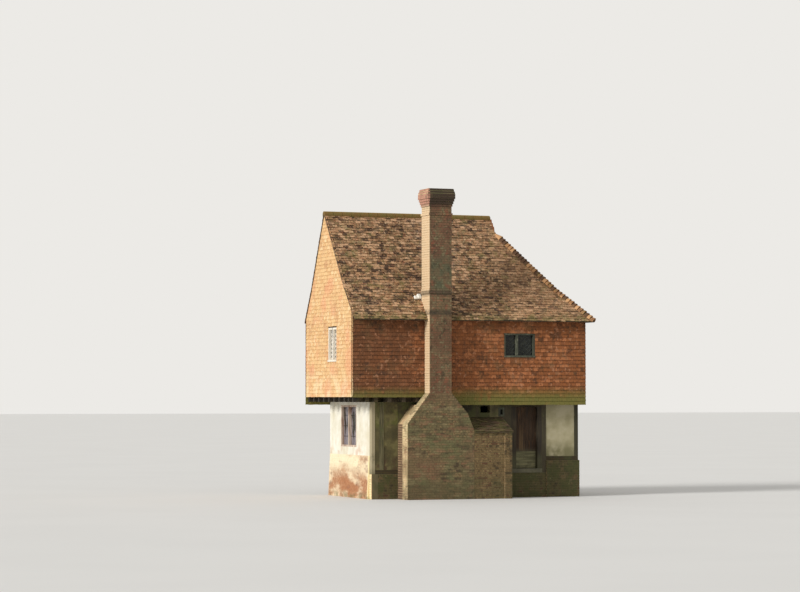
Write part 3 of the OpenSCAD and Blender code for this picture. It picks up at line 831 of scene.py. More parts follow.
# Lime wash over the bricks of the left end, which its mortar shares.
END_WASH = (
    Stain("a4693f", 0.80, 1.7, 0.34, 0.66, ((2, 1.25, 0.75),), LONG),
    Stain("eedfbc", 0.92, 1.9, 0.30, 0.60, ((2, 0.55, 1.10),), LONG),
    Stain("f1e0bc", 0.75, 2.8, 0.44, 0.68, (), LONG),
    Stain("8a5f47", 0.60, 3.6, 0.56, 0.68, (), LONG),
    Stain("f2e0ac", 0.9, 3.0, 0.15, 0.4, ((1, -1.23, -1.33),)),
    Stain("6b6238", 0.6, 4.0, 0.4, 0.6, ((2, 0.28, 0.05),)),
)


@dataclass(frozen=True)
class Finishes:
    """All finishes of the house. A stain has its colour, amount, scale, start, full and zone."""

    front_tile: Clay = Clay(
        "hung tile", ("5c3617", "844e26", "98592b", "764522", "b87243", "8f5f3c"),
        (
            # Painted shade on the front wall left of the stack.
            Stain("4d3017", 0.60, 1.5, 0.10, 0.55, ((0, -1.2, -1.7), (1, 0.0, -1.0))),
            Stain("6d5230", 0.5, 2.2, 0.52, 0.72),
            Stain("38281a", 0.5, 4.0, 0.62, 0.68),
            Stain("b98462", 0.55, 8.0, 0.61, 0.69),
            Stain("6a692c", 0.9, 3.0, 0.20, 0.44, ((2, 3.62, 3.12),)),
        ),
        grain=34.0, depth=0.003, spread=0.7, patch=1.15, shade_and_dirt=0.28,
    )
    gable_tile: Clay = Clay(
        "sunlit hung tile", ("b88a55", "d6ad76", "e4be88", "cb9a63", "edcf9d", "d0a678"),
        (
            Stain("b58058", 0.5, 2.0, 0.52, 0.72),
            Stain("dc9870", 0.5, 1.4, 0.48, 0.66),
            Stain("eed6ac", 0.5, 16.0, 0.62, 0.70),
            Stain("ecd9ae", 0.6, 1.8, 0.45, 0.65, ((2, 4.2, 3.5),)),
        ),
        grain=34.0, depth=0.003, spread=0.4, patch=0.9, shade_and_dirt=0.15,
    )
    roof_tile: Clay = Clay(
        "roof tile", ("4a3320", "8f6845", "7a6541", "a27552", "bd9369", "5f4b2e", "cca27a"),
        (
            Stain("7d7440", 0.45, 3.0, 0.52, 0.68),
            Stain("c3a68c", 0.5, 5.0, 0.42, 0.60, ((0, 0.4, -0.4), (0, -1.4, -0.9), (2, 7.0, 7.6))),
            Stain("d4b890", 0.7, 14.0, 0.61, 0.67),
            Stain("3b2f1e", 0.6, 12.0, 0.60, 0.68),
            Stain("9c5f42", 0.5, 9.0, 0.58, 0.68),
            Stain("c99d78", 0.5, 6.5, 0.55, 0.64),
            Stain("4a3927", 0.5, 5.5, 0.55, 0.64),
            Stain("b98f68", 0.25, 2.0, 0.25, 0.55, ((0, 0.8, 1.8),)),
            Stain("6d6a36", 0.55, 5.0, 0.35, 0.6, ((2, 5.95, 5.72),)),
        ),
        grain=22.0, depth=0.006, spread=1.3, patch=1.2, shade_and_dirt=0.16,
    )
    bonnet: Clay = Clay(
        "bonnet tile", ("5d4028", "96693f", "b98a5c", "7d5636", "c89868"),
        (Stain("7a7440", 0.4, 5.0, 0.54, 0.70), Stain("4a3622", 0.4, 9.0, 0.58, 0.70)),
        grain=24.0, depth=0.004, spread=2.0,
    )
    ridge: Clay = Clay(
        "ridge tile", ("5e4820", "7a5e2c", "70542a"),
        (Stain("6b642c", 0.5, 6.0, 0.45, 0.62),),
        grain=24.0, depth=0.006, crest="a5843a", spread=0.0,
    )
    oven_tile: Clay = Clay(
        "mossy tile", ("4a3e26", "5e4733", "6c5f38", "524a27"),
        (Stain("4c4a24", 0.6, 4.0, 0.42, 0.58), Stain("80604a", 0.6, 7.0, 0.58, 0.7)),
        grain=30.0, depth=0.006,
    )
    stack_brick: Clay = Clay(
        "stack brick", ("4d3a26", "6a5239", "7b6044", "6a5a3e", "8a6a4b", "7d4c34"),
        (
            Stain("4f573f", 0.75, 2.4, 0.36, 0.56, ((2, 8.0, 7.4), (2, 6.5, 6.7), OFF_LEFT)),
            Stain("6b3f2e", 0.6, 2.6, 0.38, 0.60, ((2, 7.3, 7.8), OFF_LEFT)),
            Stain("66402c", 0.6, 2.6, 0.35, 0.6, ((2, 6.0, 5.6), OFF_LEFT)),
            Stain("2c2014", 0.88, 3.0, 0.1, 0.4, (CAP,)),
            # Painted sunlight on the cap's left side.
            Stain("c9917a", 0.75, 4.0, 0.2, 0.5, (CAP, (0, -1.672, -1.69))),
            Stain("8a4f36", 0.6, 4.0, 0.54, 0.68, (OFF_LEFT, BELOW_CAP)),
            Stain("37301f", 0.6, 7.0, 0.57, 0.67, (OFF_LEFT, BELOW_CAP)),
            Stain("8a8460", 0.55, 9.0, 0.57, 0.67, (OFF_LEFT, BELOW_CAP)),
            # Painted shade under the drip courses.
            Stain("2e2a20", 0.6, 5.0, 0.1, 0.4, ((2, 6.38, 6.46), (2, 6.62, 6.52))),
            Stain("2f2a20", 0.7, 5.0, 0.2, 0.5, ((2, 5.76, 5.84), (2, 6.00, 5.92))),
        ),
        grain=30.0, depth=0.003, sunlight_paint="dcbf98", sunlight_painted=1.0, spread=0.45, patch=1.4,
    )
    base_brick: Clay = Clay(
        "chimney base brick", ("4a3c27", "695a3c", "786b48", "5f5536", "8a744e", "6b4f35"),
        (
            Stain("6b6d45", 0.55, 1.4, 0.46, 0.66),
            Stain("7b5a40", 0.5, 1.1, 0.52, 0.68),
            Stain("a8976c", 0.45, 3.6, 0.52, 0.70, (), BANDS),
            Stain("3a2e1c", 0.65, 3.0, 0.52, 0.70, (), BANDS),
            Stain("8a6247", 0.6, 4.5, 0.54, 0.68, (), BANDS),
            Stain("80573f", 0.5, 1.3, 0.30, 0.60, ((2, 1.7, 0.9), (0, -1.0, -1.6))),
            Stain("4a4a2a", 0.5, 3.0, 0.25, 0.55, ((2, 0.75, 0.35),)),
            # Painted shade of the jetty on the back part of the base's left side.
            Stain("5e4330", 0.9, 3.0, 0.10, 0.30, ((1, -1.995, -1.95),)),
        ),
        grain=30.0, depth=0.004, sunlight_paint="e6cd9e", sunlight_painted=0.95, spread=0.85, patch=1.7,
    )
    oven_brick: Clay = Clay(
        "oven brick", ("493a22", "675130", "7c6640", "604a2d", "8c754c", "5d4028"),
        (
            Stain("8d7a50", 0.5, 5.0, 0.58, 0.72),
            Stain("40401f", 0.5, 3.5, 0.3, 0.6, ((2, 0.9, 0.5),)),
            Stain("45451f", 0.8, 3.5, 0.3, 0.6, ((2, 1.95, 2.06),)),
        ),
        grain=30.0, depth=0.004, spread=0.85, patch=1.7,
    )
    plinth_brick: Clay = Clay(
        "plinth brick", ("373017", "483d20", "574e2a", "3f3d1d", "675635", "4a321c"),
        (Stain("43461d", 0.7, 3.0, 0.42, 0.6), Stain("7d7650", 0.55, 6.0, 0.62, 0.72)),
        grain=30.0, depth=0.004, spread=0.7, patch=1.0,
    )
    end_brick: Clay = Clay(
        "end base brick", ("b08a68", "d0a880", "bf9470", "a87c5c", "e6c49a", "b07a58"), END_WASH,
        grain=18.0, depth=0.008, spread=0.35, patch=1.3,
    )
    mortar: Clay = Clay(
        "lime mortar", ("544a2f", "716547"), (Stain("43461f", 0.5, 3.0, 0.45, 0.6),),
        depth=0.004, sunlight_paint="d2b084", sunlight_painted=0.92, by_facing=True, spread=0.0,
    )
    pale_mortar: Clay = Clay("pale mortar", ("b89674", "d4b490"), END_WASH, depth=0.005, spread=0.0)
    oak: Timber = Timber(
        "weathered oak", ("433e28", "5c563a", "6f684a", "50492f"),
        (
            Stain("51562c", 0.5, 4.0, 0.5, 0.7),
            Stain("ac9f80", 0.85, 3.0, 0.10, 0.45, ((0, -3.13, -3.16), (2, 0.6, 1.1))),
            Stain("2a2719", 0.8, 3.0, 0.10, 0.45, ((0, 3.66, 3.70),)),
            Stain("3a3120", 0.8, 4.0, 0.15, 0.5, ((0, 1.0, 1.2), (0, 3.2, 3.0))),
        ),
        grain=26.0, depth=0.004,
    )
    oak_long: Timber = Timber(
        "weathered oak rail", ("30260f", "3d3115", "4c3e1c"),
        (
            Stain("40431f", 0.6, 4.0, 0.45, 0.65),
            # Painted shade on the jetty joists' ends at the left end.
            Stain("1e170b", 0.9, 3.0, 0.05, 0.3, ((0, -3.80, -3.95),)),
        ),
        grain=26.0, depth=0.004, way=Way.ALONG_X,
    )
    joist: Timber = Timber(
        "floor oak", ("352b1a", "443826", "53452f"), grain=26.0, depth=0.003, way=Way.ALONG_Y,
    )
    door_oak: Timber = Timber(
        "door oak", ("1f1509", "30200f", "402b15", "281a0b", "583c20"),
        (
            Stain("6e5638", 0.75, 7.0, 0.54, 0.64, ((2, 2.5, 1.6),), (1.0, 1.0, 0.05)),
            Stain("55503a", 0.85, 5.0, 0.15, 0.4, ((2, 1.62, 1.42),)),
        ),
        grain=30.0, depth=0.003,
    )
    apron: Timber = Timber(
        "foot board", ("595539", "6f6b4b", "86805d"), (Stain("3f3e2a", 0.6, 5.0, 0.5, 0.7),),
        grain=28.0, depth=0.003, way=Way.ALONG_X,
    )
    jamb: Timber = Timber(
        "door frame oak", ("2a2216", "3a301f", "4a3f2b"),
        (Stain("4c4a30", 0.8, 4.0, 0.2, 0.5, ((2, 1.55, 1.15),)),),
        grain=26.0, depth=0.003,
    )
    pale_frame: Timber = Timber(
        "painted frame", ("ddd2bf", "eae1d0", "f3ecde"), (Stain("a59a80", 0.4, 8.0, 0.55, 0.7),),
        grain=22.0, depth=0.0015,
    )
    end_frame: Timber = Timber(
        "limewashed frame", ("b09a86", "cdb8a4", "e6d8c6"),
        (Stain("96705c", 0.7, 5.0, 0.5, 0.62, (), RUNS),), grain=22.0, depth=0.002,
    )
    grey_frame: Timber = Timber(
        "grey frame", ("3c3e30", "4d4f3f", "5f604d"), (Stain("7b7a66", 0.6, 7.0, 0.55, 0.68),),
        grain=24.0, depth=0.002,
    )
    plaster: Finish = Finish(
        "cream plaster", ("9d9471", "aca280", "b7ad8d"),
        (
            Stain("6f6a46", 0.85, 2.6, 0.28, 0.52, ((2, 1.90, 1.45),)),
            Stain("8f8662", 0.5, 1.6, 0.5, 0.7, (), (1.0, 1.0, 0.35)),
        ),
        grain=30.0, depth=0.003,
    )
    shaded_wall: Finish = Finish(
        "shaded wall", ("3a3421", "4a432a", "564d30"),
        (
            Stain("867b54", 0.7, 3.0, 0.15, 0.55, ((0, 0.70, 0.78), (0, 1.10, 1.04))),
            Stain("555a2b", 0.6, 3.0, 0.45, 0.6),
        ),
        grain=26.0, depth=0.004,
    )
    render: Finish = Finish(
        "white render", ("dcd5bf", "e6e0ce", "eee9da"),
        (
            Stain("c79c7a", 0.6, 2.6, 0.48, 0.66, ((2, 1.9, 1.45),)),
            Stain("cdbf9c", 0.5, 1.4, 0.5, 0.7, (), RUNS),
        ),
        grain=26.0, depth=0.004,
    )
    mossy: Finish = Finish(
        "mossy plaster", ("464024", "554d2d", "625b36"),
        (
            Stain("5f6427", 0.7, 2.5, 0.45, 0.65, ((2, 2.1, 2.5),)),
            Stain("4a3522", 0.75, 3.0, 0.42, 0.62, ((2, 1.7, 1.2),)),
            Stain("7a7247", 0.6, 3.5, 0.52, 0.66),
        ),
        grain=26.0, depth=0.005,
    )
    stone: Finish = Finish(
        "worn stone", ("4f4c3a", "605c48", "716c55"), (Stain("43461f", 0.5, 4.0, 0.5, 0.7),),
        grain=22.0, depth=0.004,
    )
    iron: Metal = Metal(
        "forged iron", ("1d1a18", "2c2623", "40302a"), rough=0.62, grain=40.0, depth=0.001,
    )
    lead: Metal = Metal(
        "sheet lead", ("3a3d3c", "4e5150"), rough=0.6, grain=30.0, depth=0.0006, metallic=0.4,
    )
    fillet: Finish = Finish(
        "lime fillet", ("d9d4c6", "ebe7dc"), (Stain("9a9075", 0.5, 8.0, 0.6, 0.7),),
        grain=30.0, depth=0.002,
    )
    glass: Pane = Pane(
        "leaded glass", ("12140f", "1d1f18", "34362a"),
        (
            # Painted reflection: a pale glare on the gable window's glass.
            Stain("ded6cc", 0.92, 3.0, 0.10, 0.35, ((0, -3.95, -3.99),)),
            Stain("8a8288", 0.75, 6.0, 0.42, 0.55, ((0, -3.15, -3.19), (0, -3.3, -3.25)), RUNS),
        ),
        grain=9.0, depth=0.002,
    )


@dataclass
class Plan:
    """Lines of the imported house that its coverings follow, in metres.

    The kick is where the flatter foot of the deepest slope ends, hip run is the hip slope's
    depth up to the ridge, and eave_t the thickness of the eaves.
    """

    kick_run: float = 0.98
    kick_rise: float = 1.04
    hip_run: float = 2.86
    eave_t: float = 0.05
    left: float = field(init=False)
    front: float = field(init=False)
    right: float = field(init=False)
    back: float = field(init=False)
    eave_front: float = field(init=False)
    eave_back: float = field(init=False)
    eave_right: float = field(init=False)
    eave_z: float = field(init=False)
    verge: float = field(init=False)
    gablet_x: float = field(init=False)
    ridge_y: float = field(init=False)
    ridge_z: float = field(init=False)

    def __post_init__(self) -> None:
        """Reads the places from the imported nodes' boxes."""
        self.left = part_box("left_gable_wall")[0].x
        self.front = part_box("upper_front_wall_right")[0].y
        self.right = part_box("upper_right_wall")[1].x
        self.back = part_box("upper_back_wall")[1].y
        low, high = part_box("front_roof_slope")
        self.eave_front, self.verge, self.ridge_z = low.y, low.x, high.z
        self.eave_z = low.z + self.eave_t
        self.eave_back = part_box("back_roof_slope")[1].y
        self.ridge_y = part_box("back_roof_slope")[0].y
        self.eave_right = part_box("hip_roof_slope")[1].x
        self.gablet_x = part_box("hip_tiles")[0].x

    def section(self, run: float) -> tuple[Span, Span, Span]:
        """A slope's section from its eaves to the ridge, with its flatter foot in proportion.

        Args:
            run: The slope's depth.

        Returns:
            Run and rise at the eaves, at the kick and at the ridge.
        """
        whole = self.ridge_y - self.eave_front
        rise = self.ridge_z - self.eave_z
        return (0.0, 0.0), (self.kick_run * run / whole, self.kick_rise), (run, rise)

    def hip_section(self) -> tuple[Span, Span, Span]:
        """The hip slope's section, which ends at the foot of the small gable.

        Returns:
            Run and rise at the eaves, at the kick and at the small gable.
        """
        foot, kick, top = self.section(self.hip_run)
        run = self.eave_right - self.gablet_x
        rise = kick[1] + (top[1] - kick[1]) * (run - kick[0]) / (top[0] - kick[0])
        return foot, kick, (run, rise)

    def gable_span(self, z: float, drop: float) -> Span:
        """Finds how deep the gable is at a height.

        Args:
            z: The height.
            drop: How far under the roof's top the gable ends.

        Returns:
            Its front and back ends.
        """
        ends = []
        for eave, wall in ((self.eave_front, self.front), (self.eave_back, self.back)):
            run = abs(self.ridge_y - eave)
            _, kick, top = self.section(run)
            rise = z + drop - self.eave_z
            if rise <= kick[1]:
                inward = kick[0] * rise / kick[1]
            else:
                inward = kick[0] + (run - kick[0]) * (rise - kick[1]) / (top[1] - kick[1])
            if eave < self.ridge_y:
                ends.append(max(eave + inward, wall))
            else:
                ends.append(min(eave - inward, wall))
        return ends[0], ends[1]


def cut(spans: list[Span], gap: Span) -> list[Span]:
    """Takes a gap out of stretches along a course.

    Args:
        spans: The stretches.
        gap: Start and end of what is taken out.

    Returns:
        What is left of them.
    """
    left = []
    for start, end in spans:
        if gap[1] <= start or gap[0] >= end:
            left.append((start, end))
            continue
        if gap[0] > start:
            left.append((start, gap[0]))
        if gap[1] < end:
            left.append((gap[1], end))
    return left


@dataclass
class Roof:
    """Plain tiles on the three slopes and bonnet tiles on the hips.

    The gaps keep the tiles off the hips and the stack. A bonnet's tail and head are its radii,
    its chord is the stretch of the course that gives its slope, sink and lift set it on the
    hip and tilt it, and seat is how far it may stray outwards.
    """

    plan: Plan
    finishes: Finishes
    overhang: float = 0.035
    verge_lip: float = 0.02
    ridge_cover: float = 0.07
    hip_gap: float = 0.02
    stack_gap: float = 0.004
    stack_behind: float = 0.02
    bonnet_length: float = 0.26
    bonnet_tail: float = 0.140
    bonnet_head: float = 0.075
    bonnet_wall: float = 0.016
    bonnet_sink: float = 0.060
    bonnet_lift: float = 0.024
    bonnet_sides: int = 14
    bonnet_chord: Span = (0.01, 0.20)
    bonnet_seat: Span = (-0.004, 0.006)

    def build(self) -> None:
        """Builds and dresses the roof."""
        plan, gap, hip = self.plan, self.hip_gap, self.plan.hip_run
        left, right, front, foot = plan.verge, plan.eave_right, plan.eave_front, plan.eave_z
        stack_low, stack_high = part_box("chimney_stack")
        stack = (stack_low.x - left - self.stack_gap, stack_high.x - left + self.stack_gap)
        stack_end = stack_high.y + self.stack_behind
        width = right - left
        across, depth = plan.ridge_y - front, plan.eave_back - plan.ridge_y
        most = right - plan.gablet_x - self.verge_lip

        def front_spans(run: float, rise: float) -> list[Span]:
            """The front slope between its verge and the hip, without the stack."""
            whole = [(0.0, width - min(most, hip * run / across + gap))]
            return cut(whole, stack) if front + run < stack_end else whole

        def back_spans(run: float, rise: float) -> list[Span]:
            """The back slope from the hip to its verge."""
            return [(min(most, hip * run / depth + gap), width)]

        def hip_spans(run: float, rise: float) -> list[Span]:
            """The hipped slope between its two hips."""
            return [(across * run / hip + gap, across + depth - depth * run / hip - gap)]

        faces = (
            ("front", (left, front, foot), X, Y, plan.section(across), front_spans, 11),
            ("back", (right, plan.eave_back, foot), -X, -Y, plan.section(depth), back_spans, 12),
            ("hip", (right, front, foot), Y, -X, plan.hip_section(), hip_spans, 13),
        )
        for name, start, along, inward, section, spans, seed in faces:
            heap = Heap(f"{name}_roof_tiles", seed)
            face = Face(Vector(start), along, inward, section)
            PLAIN.lay(heap, face, spans, -self.overhang, face.length() - self.ridge_cover)
            heap.piece(self.finishes.roof_tile, "roof_tile")
        self.bonnets()

    def bonnets(self) -> None:
        """Lays the bonnet tiles up both hips, one to each course of the slopes."""
        plan = self.plan
        heap = Heap("bonnet_tiles", 14)
        run = plan.ridge_y - plan.eave_front
        courses = Face(Vector(), X, Y, plan.section(run))
        count = round(courses.length() / PLAIN.gauge)
        last = (plan.eave_right - plan.gablet_x) / plan.hip_run
        for eave in (plan.eave_front, plan.eave_back):
            corner = Vector((plan.eave_right, eave, plan.eave_z))
            level = Vector((-plan.hip_run, plan.ridge_y - eave, 0.0))
            for i in range(count):
                spots = []
                for step in self.bonnet_chord:
                    part, rise = courses.at(i * PLAIN.gauge + step)
                    spots.append(corner + level * (part / run) + Z * rise)
                if part / run > last:
                    break
                self.bonnet(heap, spots[0], (spots[1] - spots[0]).normalized(), level)
        heap.piece(self.finishes.bonnet, "ridge_tile", replaces=("hip_tiles",))

    def bonnet(self, heap: Heap, foot: Vector, up: Vector, level: Vector) -> None:
        """Adds one bonnet tile: half of a tapered pipe with a wall.

        Args:
            heap: Where it goes.
            foot: The hip's point under its lower end.
            up: The way up the hip.
            level: The hip's direction in plan.
        """
        side = level.cross(Z).normalized()
        out = side.cross(up).normalized()
        if out.z < 0:
            out = -out
        stray = heap.draw.uniform(*self.bonnet_seat)
        shell = bmesh.new()
        bmesh.ops.create_cone(
            shell, cap_ends=False, segments=self.bonnet_sides, radius1=self.bonnet_tail,
            radius2=self.bonnet_head, depth=self.bonnet_length,
        )
        bmesh.ops.bisect_plane(
            shell, geom=shell.verts[:] + shell.edges[:] + shell.faces[:], plane_co=(0, 0, 0),
            plane_no=(0, -1, 0), clear_outer=True,
        )
        bmesh.ops.recalc_face_normals(shell, faces=shell.faces)
        bmesh.ops.solidify(shell, geom=shell.faces[:], thickness=self.bonnet_wall)
        tilt = Matrix.Rotation(math.asin(self.bonnet_lift / self.bonnet_length), 3, side)
        if (tilt @ up).dot(out) > 0:
            tilt.transpose()
        up, out = tilt @ up, tilt @ out
        turn = Matrix((side, out, up)).transposed().to_4x4()
        height = stray - self.bonnet_sink + self.bonnet_lift / 2
        centre = foot + up * self.bonnet_length / 2 + out * height
        bmesh.ops.transform(shell, matrix=Matrix.Translation(centre) @ turn, verts=shell.verts)
        tone = shell.verts.layers.float.new("tone")
        value = heap.draw.random()
        for vert in shell.verts:
            vert[tone] = value
        data = bpy.data.meshes.new("bonnet")
        shell.to_mesh(data)
        shell.free()
        heap.mesh.from_mesh(data)
        heap.count += 1
        bpy.data.meshes.remove(data)


@dataclass
class HungTiles:
    """Tiles hung on the upper walls.

    The front and back tops are above the eaves, and those of the gable and the gablet below
    the ridge. Under roof is how far the gable's tiles stop under the roof's top, and past
    roof how far the gablet's go beyond it.
    """

    plan: Plan
    finishes: Finishes
    front_top: float = 0.18
    back_top: float = 0.03
    gable_top: float = 0.12
    gablet_top: float = 0.16
    gablet_foot: float = 0.03
    under_roof: float = 0.07
    past_roof: float = 0.02
    frame_lap: float = 0.02
    slack: float = 0.01

    def build(self) -> None:
        """Builds and dresses all sides."""
        plan, lip, lap = self.plan, HUNG.tail, self.frame_lap
        window_low, window_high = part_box("front_window_frame")
        gable_low, gable_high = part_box("gable_window_frame")
        stack_low, stack_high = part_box("chimney_stack")
        left_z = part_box("upper_front_wall_left")[0].z
        skirt_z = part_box("upper_front_wall_right")[0].z
        width, depth = plan.right - plan.left, plan.back - plan.front

        def front_spans(run: float, rise: float) -> list[Span]:
            """The front wall without the chimney and the window; its right part hangs lower.

            Args:
                run: Distance into the wall.
                rise: Height above its foot.

            Returns:
                The stretches from its left end.
            """
            z = skirt_z + rise
            first = stack_high.x - plan.left if z < left_z - self.slack else -lip
            whole = [(first, width + lip)]
            whole = cut(whole, (stack_low.x - plan.left, stack_high.x - plan.left))
            if window_low.z - lap < z < window_high.z + lap:
                whole = cut(whole, (window_low.x - plan.left, window_high.x - plan.left))
            return whole

        def gable_spans(run: float, rise: float) -> list[Span]:
            """The gable between its two slopes, without its window.

            Args:
                run: Distance into the wall.
                rise: Height above its foot.

            Returns:
                The stretches from its back end.
            """
            z = left_z + rise
            near, far = plan.gable_span(z, self.under_roof)
            first = plan.back - far - (lip if far >= plan.back else 0)
            last = plan.back - near + (lip if near <= plan.front else 0)
            if gable_low.z - lap < z < gable_high.z + lap:
                return cut([(first, last)], (plan.back - gable_high.y, plan.back - gable_low.y))
            return [(first, last)]

        gablet_z = plan.eave_z + plan.hip_section()[-1][1] - self.gablet_foot

        def gablet_spans(run: float, rise: float) -> list[Span]:
            """The small gable over the hip, counted from under the ridge."""
            near, far = plan.gable_span(gablet_z + rise, -self.past_roof)
            return [(near - plan.ridge_y, far - plan.ridge_y)]

        def whole_span(length: float) -> Spans:
            """A plain wall of that length."""
            return lambda run, rise: [(-lip, length + lip)]

        left, right, front, back = plan.left, plan.right, plan.front, plan.back
        top, ridge = plan.eave_z + self.front_top, plan.ridge_z
        tile, sunlit = self.finishes.front_tile, self.finishes.gable_tile
        sides = (
            ("front", (left, front, skirt_z), X, Y, top, front_spans, tile, 21),
            ("gable", (left, back, left_z), -Y, X, ridge - self.gable_top, gable_spans, sunlit, 22),
            ("back", (right, back, skirt_z), -X, -Y, plan.eave_z + self.back_top,
             whole_span(width), tile, 23),
            ("right", (right, front, skirt_z), Y, -X, top, whole_span(depth), tile, 24),
            ("gablet", (plan.gablet_x, plan.ridge_y, gablet_z), Y, -X, ridge - self.gablet_top,
             gablet_spans, tile, 25),
        )
        for name, start, along, inward, end_z, spans, finish, seed in sides:
            heap = Heap(f"{name}_hung_tiles", seed)
            foot = Vector(start)
            face = Face(foot, along, inward, ((0.0, 0.0), (0.0, end_z - foot.z)))
            bond = GABLE_HUNG if name == "gable" else HUNG
            bond.lay(heap, face, spans)
            heap.piece(finish, "hung_tile")


@dataclass(frozen=True)
class Fillet:
    """A strip of lime on the tiles: how far its middle is from the stack's left side and how
    far above the stack's back, its width, its length up the slope and its thickness.
    """

    aside: float
    width: float
    above: float
    length: float
    thick: float


@dataclass
class Masonry:
    """Bricks of the plinths, the chimney and the oven block.

    The stack has drip courses at drip z, a band below its top by neck drop, and a cap of
    corbels that each stand out by step. Its sides are laid on their own over the roof, from
    roof foot to roof top. The base's left shoulder starts at left foot, and its right one at
    right foot, with a kink. Lap is how far a face's bricks pass its corner.
    """

    plan: Plan
    finishes: Finishes
    drip: float = 0.026
    course: float = 0.08
    left_foot: float = 2.375
    right_foot: float = 2.161
    kink_in: float = 0.224
    kink_z: float = 2.692
    drip_z: float = 6.480
    roof_foot: float = 5.60
    roof_top: float = 6.30
    neck_drop: float = 0.28
    step: float = 0.023
    corbels: int = 4
    corner_in: float = 0.001
    lap: float = 0.005
    base_tuck: float = 0.42
    pier_w: float = 0.25
    pier_out: float = 0.028
    plinth_out: float = 0.03
    post_w: float = 0.20
    oven_side_drop: float = 0.03
    oven_tile_lift: float = 0.045
    oven_tile_drop: float = 0.047
    oven_tile_lip: float = 0.01
    oven_tile_head: float = 0.03
    fillet_length: float = 0.14
    fillet_thick: float = 0.04
    fillet_back: float = 0.05
    fillet_lift: float = 0.012
    fillet_edge: float = 0.3
    lumps: tuple[Fillet, ...] = (
        Fillet(-0.06, 0.14, 0.13, 0.20, 0.10), Fillet(-0.17, 0.13, 0.10, 0.14, 0.07),
    )

    def build(self) -> None:
        """Builds and dresses all masonry."""
        self.stack()
        self.base()
        self.oven()
        self.plinths()
        self.end_base()
        self.flashing()

    @staticmethod
    def wall(start: Iterable[float], along: Vector, inward: Vector, height: float) -> Face:
        """An upright face."""
        return Face(Vector(start), along, inward, ((0.0, 0.0), (0.0, height)))

    @staticmethod
    def cover(heap: Heap, face: Face, start: float, end: float, bond: Bond = BRICK) -> None:
        """Lays bricks on a face, between the same two places in every course."""
        bond.lay(heap, face, lambda run, rise: [(start, end)])

    def ring(self, heap: Heap, low: Vector, high: Vector, closed: bool = True) -> None:
        """Lays bricks round the sides of an upright block.

        Args:
            heap: Where they go.
            low: The block's lowest corner.
            high: The block's highest corner.
            closed: Whether the back is laid as well.
        """
        wide, deep, tall = high - low
        lip = BRICK.tail - self.corner_in
        sides = (
            ((low.x, low.y, low.z), X, Y, wide),
            ((high.x, low.y, low.z), Y, -X, deep),
            ((low.x, high.y, low.z), -Y, X, deep),
            ((high.x, high.y, low.z), -X, -Y, wide),
        )
        for start, along, inward, length in sides if closed else sides[:-1]:
            self.cover(heap, self.wall(start, along, inward, tall), -lip, length + lip)

    def stack(self) -> None:
        """The shaft with its drip courses and neck band, and the corbelled cap."""
        low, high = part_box("chimney_stack")
        course, step, corbels = self.course, self.step, self.corbels
        drip_z, neck = self.drip_z, high.z - self.neck_drop
        heap = Heap("stack_bricks", 31)
        below = Vector((high.x, self.plan.front, self.roof_foot))
        beside = Vector((low.x, low.y, self.roof_foot)), Vector((high.x, high.y, self.roof_top))
        self.ring(heap, low, below, closed=False)
        self.ring(heap, *beside, closed=False)
        shaft = (
            (self.roof_top, drip_z, 0.0), (drip_z, drip_z + course, self.drip),
            (drip_z + course, drip_z + 2 * course, self.drip / 2),
            (drip_z + 2 * course, neck, 0.0), (neck, neck + course, self.drip),
            (neck + course, high.z, 0.0),
        )
        cap = [(high.z + (i - 1) * course, i * step) for i in range(1, corbels + 1)]
        cap.append((high.z + corbels * course, corbels * step))
        cap += [
            (high.z + (corbels + i) * course, corbels * step - (i - 0.5) * step) for i in (1, 2)
        ]
        for foot, top, out in (*shaft, *((z, z + course, out) for z, out in cap)):
            grow = Vector((out, out, 0.0))
            self.ring(heap, Vector((low.x, low.y, foot)) - grow, Vector((high.x, high.y, top)) + grow)
        heap.piece(self.finishes.stack_brick, "brick")

    def flashing(self) -> None:
        """Lime fillets where the stack passes through the roof, one run out over the tiles."""
        low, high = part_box("chimney_stack")
        kick, rise = self.plan.section(self.plan.ridge_y - self.plan.eave_front)[1]
        up = Vector((0.0, kick, rise)).normalized()
        out = X.cross(up)
        heap = Heap("stack_fillets", 37)
        foot = Vector((0.0, self.plan.eave_front, self.plan.eave_z))
        length = (high.y - self.plan.eave_front) * math.hypot(kick, rise) / kick
        back = foot + up * (length + self.fillet_back)
        wide = high.x - low.x
        behind = Fillet(wide / 2, wide, 0.0, self.fillet_length, self.fillet_thick)
        for strip in (behind, *self.lumps):
            matrix = Matrix((X * strip.width, up * strip.length, out * strip.thick))
            matrix = matrix.transposed().to_4x4()
            middle = back + up * strip.above + out * (self.fillet_lift + strip.thick / 2)
            matrix.translation = middle + X * (low.x + strip.aside)
            heap.soften(heap.block(matrix), strip.thick * self.fillet_edge)
        heap.piece(self.finishes.fillet, "white_render")

    def base(self) -> None:
        """The shouldered base: its front, its left side and both shoulders."""
        low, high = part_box("chimney_base")
        stack_low, stack_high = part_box("chimney_stack")
        left, right = stack_low.x - low.x, stack_high.x - low.x
        width, depth = high.x - low.x, self.plan.front - low.y
        kinked = width - self.kink_in

        def spans(run: float, rise: float) -> list[Span]:
            """The front's outline, with its shoulders.

            Args:
                run: Distance into the face.
                rise: Height above its foot.

            Returns:
                The stretch from its left end.
            """
            start, end = 0.0, width
            if rise > self.left_foot:
                start = left * (rise - self.left_foot) / (high.z - self.left_foot)
            if rise > self.kink_z:
                end = kinked - (kinked - right) * (rise - self.kink_z) / (high.z - self.kink_z)
            elif rise > self.right_foot:
                end -= self.kink_in * (rise - self.right_foot) / (self.kink_z - self.right_foot)
            return [(start - self.lap, end)]

